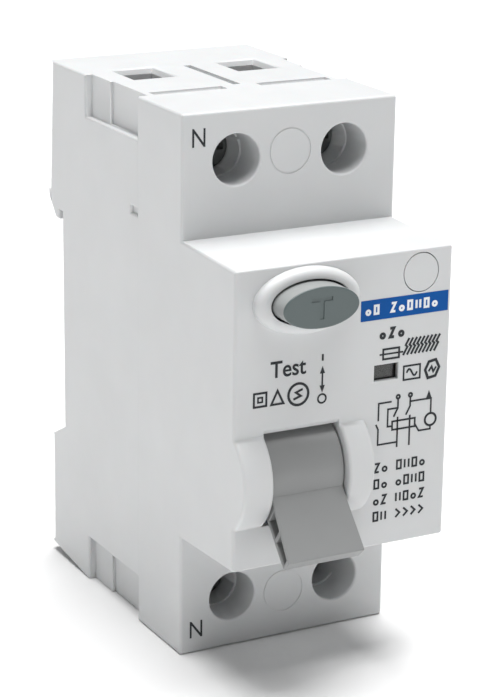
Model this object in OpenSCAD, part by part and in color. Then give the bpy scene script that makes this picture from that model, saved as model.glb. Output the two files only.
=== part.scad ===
// Two-module DIN-rail residual current device, built as separate working pieces.
// Millimetres. The origin is the middle of the rail seat: X to the right, +Z up,
// and the front faces -Y. The rail runs along X.

/* [Housing] */
// Overall width, two 18 mm modules less side clearance
body_w = 35.8; // [34:0.1:44]
// Height of the top face above the rail's centre line
top_z = 41.6; // [39:0.1:50]
// Depth of the bottom face below the rail's centre line
bottom_z = 42.3; // [40:0.1:50]
// Height of the raised front nose
nose_h = 45; // [44:0.1:46]
// Distance from rail seat to the front of the nose
nose_depth = 60; // [58:0.1:70]
// Distance from rail seat to the terminal shoulders
shoulder_depth = 43.2; // [42:0.1:45]
// Extra half height of the nose at its upper root, from mould draft
draft_top = 0.44; // [0:0.02:0.8]
// Extra half height of the nose at its lower root, from mould draft
draft_bottom = 0.72; // [0:0.02:0.9]
// Distance from rail seat to the joint between base and front cover
seam_depth = 28.5; // [27:0.1:30]
// Wall thickness of both mouldings
wall = 1.8; // [1.4:0.1:2]

/* [Rail seat] */
// Height of the mounting rail
rail_h = 35; // [35:0.1:35.5]
// Thickness of the rail's flange
rail_t = 1; // [0.8:0.1:1.2]
// Clearance between the rail's edge and the hook
rail_gap = 0.2; // [0.1:0.05:0.4]
// How far the hook reaches behind the rail's flange
hook_reach = 1.3; // [0.8:0.1:1.8]
// How far the back lips stand behind the rail seat
lip_depth = 6.2; // [5.5:0.1:7]

/* [Terminals] */
// Distance of each pole from the middle plane
pole_x = 9; // [8.8:0.1:9.2]
// Height of the terminal screws above and below the rail's centre line
screw_z = 34.2; // [33.6:0.1:34.6]
// Diameter of the screwdriver wells
well_d = 7.7; // [7.2:0.1:7.9]
// Thread diameter of the terminal screws
screw_d = 5; // [4:0.1:5.2]
// Head diameter of the terminal screws
screw_head_d = 6.6; // [6:0.1:6.8]
// Radial running clearance of the terminal screws
screw_clear = 0.06; // [0.04:0.01:0.1]
// Inner width of the cage clamps
cage_in_w = 7; // [6.6:0.1:7.2]
// Sheet thickness of the cage clamps
cage_t = 1.2; // [1:0.1:1.4]
// Height of the cage clamps
cage_h = 8.4; // [7:0.1:8.6]
// Thickness of the copper bars
bar_t = 1.5; // [1.2:0.1:1.6]

/* [Toggle] */
// Middle of the toggle opening, left of the middle plane
toggle_x = -6.8; // [-7:0.1:-6.6]
// Width of the toggle opening between the cheeks
toggle_gap = 12.4; // [12:0.1:12.6]
// Height of the toggle axle, below the rail's centre line
toggle_z = -9.2; // [-9.6:0.1:-9]
// Depth of the toggle axle behind the nose
toggle_in = 5.15; // [5:0.05:5.4]
// Radius of the cheeks
cheek_r = 8.65; // [8.4:0.05:8.8]
// Width of each cheek
cheek_w = 4.3; // [4:0.1:4.6]
// Radius of the toggle's barrel
barrel_r = 7.4; // [7:0.05:7.6]
// Side clearance of the toggle's barrel
toggle_side = 0.25; // [0.15:0.05:0.4]
// Diameter of the toggle axle
axle_d = 2.5; // [2:0.1:2.8]
// Radial running clearance of pins in their bores
pin_clear = 0.05; // [0.03:0.01:0.1]
// Reach of the paddle's tip from the axle
paddle_l = 16.5; // [15.5:0.1:18]
// Angle of the paddle below the horizontal when off
paddle_off = 35; // [34:1:37]

/* [Test button] */
// Middle of the test button, left of the middle plane
test_x = -6.6; // [-6.8:0.1:-6.4]
// Height of the test button above the rail's centre line
test_z = 17.2; // [17:0.1:17.3]
// Overall width of the oval bezel
bezel_w = 17; // [16.6:0.1:17.6]
// Overall height of the oval bezel
bezel_h = 9.8; // [9.6:0.1:10.2]
// How far the bezel stands out
bezel_out = 1.7; // [1.2:0.1:2]
// Width of the button
button_w = 12.2; // [11.6:0.1:12.6]
// Height of the button
button_h = 6.1; // [5.8:0.1:6.4]
// How far the button stands out of the nose
button_out = 4.8; // [4:0.1:5.5]
// Clearance around the button
button_clear = 0.3; // [0.2:0.05:0.4]

/* [Mechanism] */
// Depth of the contact shaft in front of the rail seat
shaft_y = -27; // [-27.5:0.1:-26.5]
// Height of the contact shaft
shaft_z = 8; // [7.5:0.1:8.5]
// Angle between the contact arms' open and closed positions
contact_open = 20; // [18:1:22]
// Length of the contact arms
arm_l = 12; // [11.5:0.1:12.5]
// Radius of the toggle's crank
crank_r = 5; // [4.8:0.1:5.1]
// Radius of the contact shaft's crank
shaft_crank_r = 7; // [6.8:0.1:7.1]
// Outer diameter of the transformer core
core_d = 21; // [20:0.1:22]
// Hole diameter of the transformer core
core_hole_d = 11.5; // [11:0.1:12]
// Height of the transformer core
core_h = 9; // [8:0.1:10]

/* [Hidden] */
$fn = 64;
cut = 0.5;
oval_steps = 96;
half_w = body_w / 2;
inner_x = half_w - wall;
nose_y = -nose_depth;
shoulder_y = -shoulder_depth;
seam_y = -seam_depth;
nose_z = nose_h / 2;
seat_z = rail_h / 2 + rail_gap;
undercut_y = rail_t + 0.3;
hook_t = 1.3;
clip_pocket_z = -31;
clip_tab_z = -20.8;

// Terminal recesses in the sides of the base
recess_z = 35;
recess_back = -9.5;
recess_step = -16.2;
recess_in = 1.2;
recess_in2 = 1.7;
low_inset = 0.9;

// Pry notches beside the joint
notch_z = 23.4;

// Grooves across the ends, behind the joint
groove_w = 2.2;
groove_depth = 0.6;

// Wire entries
entry_y = -11.9;
entry_w = 7.4;
entry_d = 9;
throat_w = 6.4;
throat_d = 8;
entry_slope = 1;
entry_block = 2.9;

// Terminal screws, bars and cages, seen from the front of each well
well_floor_y = -31.4;
well_floor_t = 1.5;
well_step_y = -37.2;
head_pocket_d = 7;
well_wall = 1.4;
head_t = 2.6;
head_gap = 0.1;
bar_front = -18.5;
bar_end_z = 38.6;
tip_gap = 0.08;
cage_back = -6.6;
cage_front_t = 2.4;
cage_front = -21.4;

// Housing screws
boss_d = 5.4;
hs_d = 2.5;
hs_z = 35;
hs_head_d = 5;
hs_head_y = -6;
hs_head_t = 1.8;
hs_end_y = -37;

// Toggle
axle_y = nose_y + toggle_in;
left_cheek_x = toggle_x - toggle_gap / 2;
right_cheek_x = toggle_x + toggle_gap / 2;
opening_half = 6.95;
barrel_w = toggle_gap - 2 * toggle_side;
crank_a = 33;
paddle_root = 2.8;
paddle_tip = -0.4;
paddle_back = -1.4;
paddle_end_t = 2.25;
paddle_flare = 0.4;
paddle_skin = 0.6;
pocket_depth = 3;
link_t = 1.4;
link_slot_w = 2.8;
link_off = 2.4;
link_x = toggle_x + link_off;
link_pin_d = 1.6;
link_eye_r = 1.7;
hub_r = 2.6;

// Crank pins at rest, as [y, z]
lever_pin = [axle_y + crank_r * cos(crank_a), toggle_z + crank_r * sin(crank_a)];
shaft_pin = [shaft_y, shaft_z - shaft_crank_r];
link_dy = shaft_pin[0] - lever_pin[0];
link_dz = shaft_pin[1] - lever_pin[1];
link_l = sqrt(link_dy * link_dy + link_dz * link_dz);
link_a = atan2(link_dz, link_dy);
link_slack = 1.5;

// Contacts
arm_w = 4;
arm_t = 1.2;
tip_d = 3;
tip_t = 1.1;
shaft_d = 6;
journal_d = 3;
frame_x = 13.1;
frame_t = 1.2;

// Lugs of the test button, kept under the cover's roof
lug_h = min(button_h + 0.4, 2 * (nose_z - wall - 0.1 - test_z));

// Relay
relay_x = 9.6;
relay_w = 11;
relay_y = -45;
relay_d = 13;
relay_top = -5.85;
relay_z = wall - nose_z + 0.05;
relay_h = relay_top - relay_z;
plunger_d = 2.4;
plunger_out = 2.2;
latch_y = -37.2;
latch_z = -1.6;

// Indicator window
window_x = 7.15;
window_z = 4.45;
window_w = 4.1;
window_h = 2.5;

// Test resistor
resistor_x = 6.2;
resistor_y = -52.5;
resistor_z = 10.6;

// Mould marks on the shoulders
ring_mark_d = 7;
ring_mark_w = 0.25;
ring_mark_t = 0.1;
ring_mark_x = -0.2;
ring_mark_z = 34.8;

// Calibration plug
plug_x = 12.6;
plug_z = 18.95;
plug_d = 6;

// Middle of the transformer
core_y = -14;
core_z = -13;

// Lays a flat outline given as (Y, Z) along X, centred on x = 0
module along_x(w) {
    rotate([90, 0, 90]) linear_extrude(w, center = true) children();
}

// Cylinder along Y from y0 to y1
module rod_y(d, x, z, y0, y1) {
    translate([x, y0, z]) rotate([-90, 0, 0]) cylinder(d = d, h = y1 - y0);
}

// Cylinder along X from x0 to x1
module rod_x(d, y, z, x0, x1) {
    translate([x0, y, z]) rotate([0, 90, 0]) cylinder(d = d, h = x1 - x0);
}

// Block between two corners
module block(a, b) {
    translate(a) cube(b - a);
}

// Ellipse outline, w wide and h high
module oval(w, h) {
    polygon([for (i = [0 : oval_steps - 1])
        [w / 2 * cos(i * 360 / oval_steps), h / 2 * sin(i * 360 / oval_steps)]]);
}

// Elliptical prism along Y at (x, z)
module oval_y(w, h, x, z, y0, y1) {
    translate([x, y1, z]) rotate([90, 0, 0]) linear_extrude(y1 - y0) oval(w, h);
}

// Round wire through a list of points, with rounded joints
module wire(points, d) {
    for (i = [0 : len(points) - 2]) {
        a = points[i];
        v = points[i + 1] - a;
        l = norm(v);
        translate(a) rotate([0, acos(v[2] / l), atan2(v[1], v[0])]) cylinder(d = d, h = l, $fn = 24);
        if (i > 0) translate(a) sphere(d = d * 1.03, $fn = 24);
    }
}

// Compression spring as stacked rings tied by a seam bar, along +Z from the origin
module ring_spring(d, wire_d, l, turns) {
    for (i = [0 : turns - 1])
        translate([0, 0, wire_d / 2 + i * (l - wire_d) / (turns - 1)])
            rotate_extrude($fn = 32) translate([(d - wire_d) / 2, 0]) circle(d = wire_d, $fn = 16);
    translate([(d - wire_d) / 2, 0, wire_d / 2]) cylinder(d = wire_d * 0.8, h = l - wire_d, $fn = 16);
}

// Outer outline of the base, without the rail channel's details
module base_outline() {
    polygon([
        [seam_y, -bottom_z], [-7.7, -bottom_z], [lip_depth, -bottom_z + 1.6],
        [lip_depth, -21.9], [0, -seat_z - 1], [0, seat_z],
        [undercut_y, seat_z], [undercut_y, seat_z - hook_reach - rail_gap],
        [undercut_y + hook_t, seat_z - hook_reach - rail_gap],
        [lip_depth, seat_z + 2.6], [lip_depth - 1.4, top_z], [seam_y, top_z]
    ]);
}

// Space inside the base
module base_space() {
    polygon([
        [seam_y - cut, -bottom_z + wall + low_inset], [-1, -bottom_z + wall + low_inset],
        [-1, -24], [-wall, -22],
        [-wall, 22], [lip_depth - 4.4, 25], [lip_depth - 4.4, top_z - wall], [seam_y - cut, top_z - wall]
    ]);
}

// Tapered wire entry, opening upwards at z = 0
module wire_entry() {
    intersection() {
        rotate([90, 0, 0]) linear_extrude(entry_d + 2, center = true)
            polygon([[-entry_w / 2, cut], [-entry_w / 2, 0], [-throat_w / 2, -entry_slope],
                [throat_w / 2, -entry_slope], [entry_w / 2, 0], [entry_w / 2, cut]]);
        along_x(entry_w + 2)
            polygon([[-entry_d / 2, cut], [-entry_d / 2, 0], [-throat_d / 2, -entry_slope],
                [throat_d / 2, -entry_slope], [entry_d / 2, 0], [entry_d / 2, cut]]);
    }
    block([-throat_w / 2, -throat_d / 2, -entry_block - cut],
          [throat_w / 2, throat_d / 2, -entry_slope + 0.01]);
}

// Everything that repeats at the upper and lower end of the base: s is +1 or -1
module base_end_cuts(s) {
    end_z = s > 0 ? top_z : bottom_z;
    for (side = [-1, 1]) {
        translate([side * pole_x, entry_y, s * end_z]) mirror([0, 0, s > 0 ? 0 : 1]) wire_entry();
        // side recess in two levels
        mirror([side > 0 ? 0 : 1, 0, 0]) mirror([0, 0, s > 0 ? 0 : 1]) {
            block([half_w - recess_in, recess_step, recess_z], [half_w + cut, recess_back, end_z + cut]);
            block([half_w - recess_in2, seam_y - cut, recess_z],
                  [half_w + cut, recess_step + 0.01, end_z + cut]);
        }
    }
    mirror([0, 0, s > 0 ? 0 : 1]) {
        // gap between the two entries
        block([-0.6, seam_y + groove_w + 0.4, end_z - 1.1], [0.6, -8.7, end_z + cut]);
        for (side = [-1, 1])
            block([side * pole_x - 6.1, seam_y - cut, end_z - groove_depth],
                  [side * pole_x + 6.1, seam_y + groove_w, end_z + cut]);
        rod_y(boss_d + 0.8, 0, hs_z, hs_head_y, lip_depth + cut);
        rod_y(hs_d + 0.3, 0, hs_z, seam_y, hs_head_y + cut);
    }
}

module base_housing() color([0.86, 0.87, 0.86]) {
    difference() {
        union() {
            difference() {
                along_x(body_w) base_outline();
                along_x(2 * inner_x) base_space();
            }
            // housing of the clip's spring, and the transformer's pad
            block([-3.6, undercut_y - 5, clip_pocket_z - 1.4], [3.6, undercut_y, -18.5]);
            block([-3, core_y + core_d / 2 + 0.82, core_z - 4], [3, -wall + 0.01, core_z + 4]);
            // thicker ends carry the wire entries and the side recesses
            intersection() {
                along_x(body_w - 1) base_outline();
                union() for (s = [-1, 1]) {
                    end_z = s > 0 ? top_z : bottom_z;
                    for (side = [-1, 1]) mirror([side > 0 ? 0 : 1, 0, 0]) mirror([0, 0, s > 0 ? 0 : 1]) {
                        block([inner_x - 1.9, seam_y, recess_z - 1.6], [half_w, recess_back + 1.6, end_z]);
                        block([pole_x - 4.9, entry_y - entry_d / 2 - 1, end_z - entry_block],
                              [pole_x + 4.9, entry_y + entry_d / 2 + 1, end_z]);
                    }
                    rod_y(boss_d + 3, 0, s * hs_z, hs_head_y - 2, lip_depth);
                }
            }
        }
        for (s = [-1, 1]) base_end_cuts(s);
        // pry notches beside the joint
        for (side = [-1, 1])
            block([side * half_w - 0.5, seam_y - cut, notch_z],
                  [side * half_w + 0.5, seam_y + 2.6, notch_z + 1.1]);
        // channel for the rail clip
        block([-6.2, undercut_y - 0.1, -bottom_z - cut], [6.2, undercut_y + 2.9, -17]);
        block([-4.2, undercut_y - 0.1, -bottom_z - cut], [4.2, lip_depth + cut, -bottom_z + 5]);
        // pocket for the clip's spring
        block([-2.3, undercut_y - 3.6, clip_pocket_z], [2.3, undercut_y, -18.9]);
    }
}

// Outer outline of the front cover
module cover_outline() {
    polygon([
        [seam_y, -bottom_z], [seam_y, top_z], [shoulder_y, top_z], [shoulder_y, nose_z + draft_top],
        [nose_y, nose_z], [nose_y, -nose_z], [shoulder_y, -nose_z - draft_bottom], [shoulder_y, -bottom_z]
    ]);
}

// Space inside the front cover
module cover_space() {
    polygon([
        [seam_y + cut, -bottom_z + wall], [seam_y + cut, top_z - wall],
        [shoulder_y + wall, top_z - wall], [shoulder_y + wall, nose_z - wall],
        [nose_y + wall, nose_z - wall], [nose_y + wall, -nose_z + wall],
        [shoulder_y + wall, -nose_z + wall], [shoulder_y + wall, -bottom_z + wall]
    ]);
}

// Ring-shaped mould mark of outer diameter d, sunk into a face at y
module ring_mark(d, x, z, y) {
    difference() {
        rod_y(d, x, z, y - cut, y + ring_mark_t);
        rod_y(d - 2 * ring_mark_w, x, z, y - 1, y + 1);
    }
}

module front_cover() color([0.86, 0.87, 0.86]) {
    difference() {
        union() {
            difference() {
                along_x(body_w) cover_outline();
                along_x(2 * inner_x) cover_space();
            }
            // toggle cheeks: solid in front, ears for the axle behind
            intersection() {
                union() {
                    rod_x(2 * cheek_r, axle_y, toggle_z, -half_w, left_cheek_x);
                    rod_x(2 * cheek_r, axle_y, toggle_z, right_cheek_x, right_cheek_x + cheek_w);
                }
                block([-half_w, nose_y - 6, -nose_z], [half_w, nose_y + wall, nose_z]);
            }
            intersection() {
                union() {
                    rod_x(11, axle_y, toggle_z, left_cheek_x - 1.6, left_cheek_x);
                    rod_x(11, axle_y, toggle_z, right_cheek_x, right_cheek_x + 1.6);
                }
                block([-half_w, nose_y + 1, -nose_z], [half_w, nose_y + 10, nose_z]);
            }
            // raised bezel and sleeve of the test button
            oval_y(bezel_w, bezel_h, test_x, test_z, nose_y - bezel_out, nose_y + 1);
            oval_y(button_w + 3, button_h + 3, test_x, test_z, nose_y, nose_y + 5.2);
            // screwdriver wells
            for (side = [-1, 1], s = [-1, 1])
                rod_y(well_d + 2 * well_wall, side * pole_x, s * screw_z, shoulder_y + 0.5,
                    well_floor_y + well_floor_t);
            for (s = [-1, 1]) rod_y(boss_d, 0, s * hs_z, shoulder_y + 0.5, seam_y);
            rod_y(plug_d + 1.2, plug_x, plug_z, nose_y + 0.5, nose_y + 4);
            // guides of the indicator flag
            for (side = [-1, 1])
                block([window_x + side * 3.1 - 0.5, nose_y + wall - 0.1, 0],
                      [window_x + side * 3.1 + 0.5, nose_y + 4.6, 9.4]);
        }
        block([left_cheek_x, nose_y - 6, toggle_z - opening_half],
              [right_cheek_x, nose_y + 3, toggle_z + opening_half]);
        // sloping upper edge of the toggle opening
        translate([toggle_x, nose_y, toggle_z + opening_half]) along_x(toggle_gap)
            polygon([[-cut, -0.01], [-cut, 1.2], [0, 0.7], [0.7, -0.01]]);
        rod_x(axle_d, axle_y, toggle_z, left_cheek_x - 1.2, right_cheek_x + 1.2);
        oval_y(button_w + 2 * button_clear, button_h + 2 * button_clear, test_x, test_z,
            nose_y - bezel_out - 1, nose_y + 6);
        for (side = [-1, 1], s = [-1, 1]) {
            rod_y(well_d, side * pole_x, s * screw_z, shoulder_y - 1, well_step_y);
            rod_y(head_pocket_d, side * pole_x, s * screw_z, well_step_y - cut, well_floor_y);
            rod_y(screw_d + 2 * screw_clear, side * pole_x, s * screw_z,
                well_floor_y - cut, well_floor_y + 3);
        }
        for (s = [-1, 1]) {
            rod_y(hs_d, 0, s * hs_z, hs_end_y - 0.5, seam_y + cut);
            ring_mark(ring_mark_d, ring_mark_x, s * ring_mark_z, shoulder_y);
        }
        block([window_x - window_w / 2, nose_y - cut, window_z - window_h / 2],
              [window_x + window_w / 2, nose_y + 3, window_z + window_h / 2]);
        block([window_x - window_w / 2 - 0.8, nose_y + 0.9, window_z - window_h / 2 - 0.8],
              [window_x + window_w / 2 + 0.8, nose_y + 3, window_z + window_h / 2 + 0.8]);
        rod_y(plug_d, plug_x, plug_z, nose_y - cut, nose_y + 2);
        rod_y(3, plug_x, plug_z, nose_y, nose_y + 5);
    }
}

module housing_screws() color([0.7, 0.71, 0.72])
    for (s = [-1, 1]) {
        difference() {
            rod_y(hs_head_d, 0, s * hs_z, hs_head_y, hs_head_y + hs_head_t);
            block([-1.8, hs_head_y + 1, s * hs_z - 0.35], [1.8, hs_head_y + 3, s * hs_z + 0.35]);
            block([-0.35, hs_head_y + 1, s * hs_z - 1.8], [0.35, hs_head_y + 3, s * hs_z + 1.8]);
        }
        rod_y(hs_d, 0, s * hs_z, hs_end_y, hs_head_y + 0.01);
    }

module calibration_plug() color([0.84, 0.85, 0.84]) {
    rod_y(plug_d - 0.24, plug_x, plug_z, nose_y + 0.05, nose_y + 2);
    rod_y(3, plug_x, plug_z, nose_y + 1.9, nose_y + 4.4);
}

module indicator_window() color([0.3, 0.33, 0.34])
    block([window_x - window_w / 2 - 0.7, nose_y + 0.9, window_z - window_h / 2 - 0.7],
          [window_x + window_w / 2 + 0.7, nose_y + 1.7, window_z + window_h / 2 + 0.7]);

// Clip: plate, hook behind the rail's lower edge, spring tab and pull eye
module rail_clip() color([0.35, 0.36, 0.37]) {
    y0 = undercut_y;
    y1 = undercut_y + 2.6;
    difference() {
        union() {
            block([-6, y0, -bottom_z + 0.4], [6, y1, -19.2]);
            translate([0, y0, -19.2]) along_x(12)
                polygon([[0, -0.01], [0, 3], [0.6, 3], [2.6, 1], [2.6, -0.01]]);
        }
        block([-2, y0 - 1, -39.6], [2, y1 + 1, -37.4]);
    }
    block([-2, y0 - 3.2, clip_tab_z], [2, y0 + 0.01, clip_tab_z + 1.4]);
}

module rail_clip_spring() color([0.6, 0.61, 0.62])
    translate([0, undercut_y - 1.8, clip_pocket_z]) ring_spring(2.8, 0.5, clip_tab_z - clip_pocket_z, 7);

// Paddle outline: the first axis runs out along the paddle, the second towards its front face
module paddle_outline() {
    polygon([
        [0, paddle_root], [barrel_r - 1.2, paddle_root], [paddle_l, paddle_tip],
        [paddle_l - 0.45, paddle_tip - paddle_end_t], [barrel_r + 0.5, paddle_back], [0, paddle_back]
    ]);
}

// Paddle seen on its face: as wide as the barrel between the cheeks, a little wider beyond them
module paddle_face() {
    clear = cheek_r + 0.4;
    half = barrel_w / 2;
    polygon([
        [0, -half], [clear, -half], [paddle_l + 1, -half - paddle_flare],
        [paddle_l + 1, half + paddle_flare], [clear, half], [0, half]
    ]);
}

// Distance of the paddle's front face from its middle plane at reach u
function paddle_front(u) =
    paddle_root - (u - barrel_r + 1.2) * (paddle_root - paddle_tip) / (paddle_l - barrel_r + 1.2);

// Distance of the paddle's rear face from its middle plane at reach u
function paddle_rear(u) =
    paddle_back
    - (u - barrel_r - 0.5) * (paddle_back - paddle_tip + paddle_end_t) / (paddle_l - barrel_r - 0.95);

// Two cored pockets in the paddle's side, with a rib between them
module paddle_pockets() {
    for (span = [[barrel_r + 1.2, paddle_l - 5.1], [paddle_l - 4.4, paddle_l - 0.9]])
        polygon([
            [span[0], paddle_rear(span[0]) + paddle_skin], [span[0], paddle_front(span[0]) - paddle_skin],
            [span[1], paddle_front(span[1]) - paddle_skin], [span[1], paddle_rear(span[1]) + paddle_skin]
        ]);
}

module toggle_lever() color([0.55, 0.57, 0.58])
    translate([toggle_x, axle_y, toggle_z]) difference() {
        union() {
            rotate([0, 90, 0]) cylinder(r = barrel_r, h = barrel_w, center = true);
            rotate([paddle_off, 0, 0]) intersection() {
                along_x(barrel_w + 2) mirror([1, 0]) paddle_outline();
                rotate([0, 0, -90]) linear_extrude(20, center = true) paddle_face();
            }
        }
        rotate([0, 90, 0]) cylinder(d = axle_d + 2 * pin_clear, h = 2 * barrel_w, center = true);
        for (side = [-1, 1])
            translate([side * barrel_w / 2, 0, 0]) rotate([paddle_off, 0, 0])
                along_x(2 * pocket_depth) mirror([1, 0]) paddle_pockets();
        // slot that lets the link swing
        difference() {
            translate([link_off, 0, 0]) along_x(link_slot_w) polygon([[-2, -9], [-2, 9], [9, 9], [9, -9]]);
            rotate([0, 90, 0]) cylinder(r = hub_r, h = barrel_w, center = true);
        }
        rod_x(link_pin_d, crank_r * cos(crank_a), crank_r * sin(crank_a), link_off - 3, link_off + 3.2);
        // pocket for the return spring
        translate([barrel_w / 2 - 2, 0, 0]) rotate([0, 90, 0]) difference() {
            cylinder(d = 7.4, h = 3);
            translate([0, 0, -1]) cylinder(d = 4, h = 5);
        }
    }

module toggle_axle() color([0.72, 0.73, 0.75])
    rod_x(axle_d, axle_y, toggle_z, left_cheek_x - 1.2, right_cheek_x + 1.2);

module toggle_spring() color([0.65, 0.66, 0.68])
    for (i = [0 : 2])
        translate([right_cheek_x - toggle_side - 0.5 - i * 0.6, axle_y, toggle_z]) rotate([0, 90, 0])
            rotate_extrude($fn = 32) translate([2.85, 0]) circle(d = 0.55, $fn = 16);

module crank_pin() color([0.72, 0.73, 0.75])
    rod_x(link_pin_d, lever_pin[0], lever_pin[1], link_x - 3, link_x + 3.2);

// Straight stretch of the link's slotted end, half as high as h
module slot_side(h) {
    polygon([[link_l - link_slack, -h], [link_l - link_slack, h], [link_l + 0.2, h], [link_l + 0.2, -h]]);
}

// Pressed link between the lever's pin and the shaft's crank; its slot lets the contacts follow late
module drive_link() color([0.68, 0.69, 0.7])
    translate([link_x, lever_pin[0], lever_pin[1]]) rotate([link_a, 0, 0]) difference() {
        union() {
            rotate([0, 90, 0]) cylinder(r = link_eye_r, h = link_t, center = true);
            along_x(link_t) polygon([[0, -1.1], [0, 1.1], [link_l - 2, 1.5], [link_l - 2, -1.5]]);
            translate([0, link_l - link_slack, 0]) rotate([0, 90, 0])
                cylinder(r = 2.1, h = link_t, center = true);
            along_x(link_t) slot_side(2.1);
            translate([0, link_l + 0.2, 0]) rotate([0, 90, 0]) cylinder(r = 2.1, h = link_t, center = true);
        }
        rotate([0, 90, 0]) cylinder(d = link_pin_d + 2 * pin_clear, h = 4, center = true);
        along_x(4) slot_side(1.2);
        for (e = [link_l - link_slack, link_l + 0.2])
            translate([0, e, 0]) rotate([0, 90, 0]) cylinder(d = 2.4, h = 4, center = true);
    }

// Two-colour flag on a short arm, sliding behind the window
module indicator_flag() color([0.2, 0.5, 0.28]) {
    block([window_x - 2.4, nose_y + 3.2, window_z - 1.9], [window_x + 2.4, nose_y + 4, window_z + 4.6]);
    block([window_x - 1, nose_y + 4, window_z + 2.6], [window_x + 1, nose_y + 8, window_z + 4]);
}

module test_button() color([0.42, 0.45, 0.46]) {
    difference() {
        union() {
            oval_y(button_w, button_h, test_x, test_z, nose_y - button_out, nose_y + 5.4);
            // lugs that hold the button behind the sleeve
            oval_y(button_w + 2, lug_h, test_x, test_z, nose_y + 5.35, nose_y + 6.6);
        }
        // pocket for the spring
        rod_y(4.4, test_x, test_z, nose_y + 1.5, nose_y + 7);
        block([test_x - 1.7, nose_y - button_out - cut, test_z + 0.9],
              [test_x + 1.7, nose_y - button_out + 0.12, test_z + 1.5]);
        block([test_x - 0.35, nose_y - button_out - cut, test_z - 1.7],
              [test_x + 0.35, nose_y - button_out + 0.12, test_z + 0.91]);
    }
}

module test_button_spring() color([0.65, 0.66, 0.68])
    translate([test_x, nose_y + 1.5, test_z]) rotate([-90, 0, 0]) ring_spring(3.6, 0.45, 9.3, 7);

module test_contact_blade() color([0.78, 0.66, 0.36]) {
    block([test_x + 5.6, nose_y + 8.6, test_z - 2.2], [test_x + 6, nose_y + 14, test_z + 0.8]);
    block([test_x + 2.2, nose_y + 8.6, test_z - 2.2], [test_x + 5.61, nose_y + 9, test_z + 0.8]);
}

module test_contact_post() color([0.78, 0.66, 0.36])
    rod_y(0.9, test_x + 3, test_z - 0.8, nose_y + 10.6, nose_y + 13.8);

module mechanism_frame() color([0.2, 0.21, 0.22]) {
    difference() {
        union() {
            for (side = [-1, 1])
                block([side > 0 ? frame_x : -frame_x - frame_t, -46, -3.2],
                      [side > 0 ? frame_x + frame_t : -frame_x, -21, 19]);
            // cross wall behind the test button, and the rear tie bar
            block([-frame_x - frame_t, -46, 16.4], [frame_x + frame_t, -21, 19]);
            block([-frame_x - frame_t, nose_y + 10.8, 12.4], [frame_x + frame_t, -45.9, 19]);
            // feet against the housing's sides
            for (side = [-1, 1])
                block([side > 0 ? frame_x : -inner_x + 0.1, -24.5, -3.2],
                      [side > 0 ? inner_x - 0.1 : -frame_x, -21, 3]);
        }
        // openings for the arms and for the spring seat's tool
        for (side = [-1, 1]) block([side * pole_x - 3, -34, 16], [side * pole_x + 3, -20, 20]);
        rod_x(journal_d + 2 * pin_clear, shaft_y, shaft_z, -half_w, half_w);
        block([test_x + 2.2, nose_y + 10, test_z - 2.4], [test_x + 6.2, nose_y + 16, test_z + 1.4]);
        rod_x(1.6, latch_y, latch_z, 0, half_w);
    }
}

module pole_barrier() color([0.62, 0.3, 0.16])
    block([-0.5, -19.9, 20.6], [0.5, -wall - 0.1, 30.6]);

// Shaft with journals, arm clamps and crank webs
module contact_shaft() color([0.16, 0.17, 0.18])
    translate([0, shaft_y, shaft_z]) {
        difference() {
            union() {
                rotate([0, 90, 0]) cylinder(d = journal_d, h = 2 * (frame_x + frame_t), center = true);
                rotate([0, 90, 0]) cylinder(d = shaft_d, h = 2 * frame_x - 0.4, center = true);
            }
            for (side = [-1, 1]) rotate([contact_open, 0, 0])
                block([side * pole_x - arm_w / 2, -arm_t / 2, -4], [side * pole_x + arm_w / 2, arm_t / 2, 4]);
        }
        for (side = [-1, 1]) translate([link_x + side * 1.5, 0, 0]) along_x(1)
            polygon([
                [-1.6, 0], [1.6, 0], [1.4, -shaft_crank_r], [0, -shaft_crank_r - 1.4], [-1.4, -shaft_crank_r]
            ]);
        translate([link_x, 0, -shaft_crank_r]) rotate([0, 90, 0])
            cylinder(d = link_pin_d, h = 3, center = true);
    }

module moving_contact_arms() color([0.75, 0.45, 0.3])
    translate([0, shaft_y, shaft_z]) rotate([contact_open, 0, 0])
        for (side = [-1, 1])
            block([side * pole_x - arm_w / 2, -arm_t / 2, -4.4],
                  [side * pole_x + arm_w / 2, arm_t / 2, arm_l + 1.6]);

module moving_contact_tips() color([0.85, 0.85, 0.83])
    translate([0, shaft_y, shaft_z]) rotate([contact_open, 0, 0])
        for (side = [-1, 1]) rod_y(tip_d, side * pole_x, arm_l, arm_t / 2, arm_t / 2 + tip_t);

module contact_springs() color([0.65, 0.66, 0.68])
    translate([0, shaft_y, shaft_z]) rotate([contact_open, 0, 0])
        for (side = [-1, 1]) translate([side * pole_x, -arm_t / 2 - 2.9, 4.6]) rotate([-90, 0, 0])
            ring_spring(2.6, 0.45, 2.9, 4);

module fixed_contact_tips() color([0.85, 0.85, 0.83])
    for (side = [-1, 1]) rod_y(tip_d, side * pole_x, shaft_z + arm_l, bar_front - tip_t, bar_front);

module flexible_braids() color([0.74, 0.44, 0.28])
    for (side = [-1, 1]) translate([side * pole_x, shaft_y, shaft_z]) along_x(2.6)
        polygon([[2.1, -4.8], [3.1, -4.5], [4.8, -8.2], [10, -8.2], [10, -9.1], [4.2, -9.1]]);

module upper_terminal_bars() color([0.78, 0.5, 0.34])
    for (side = [-1, 1])
        block([side * pole_x - 3, bar_front, shaft_z + arm_l - 2.4],
              [side * pole_x + 3, bar_front + bar_t, bar_end_z]);

module lower_terminal_bars() color([0.78, 0.5, 0.34])
    for (side = [-1, 1])
        block([side * pole_x - 3, bar_front, -bar_end_z], [side * pole_x + 3, bar_front + bar_t, -27.2]);

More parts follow.
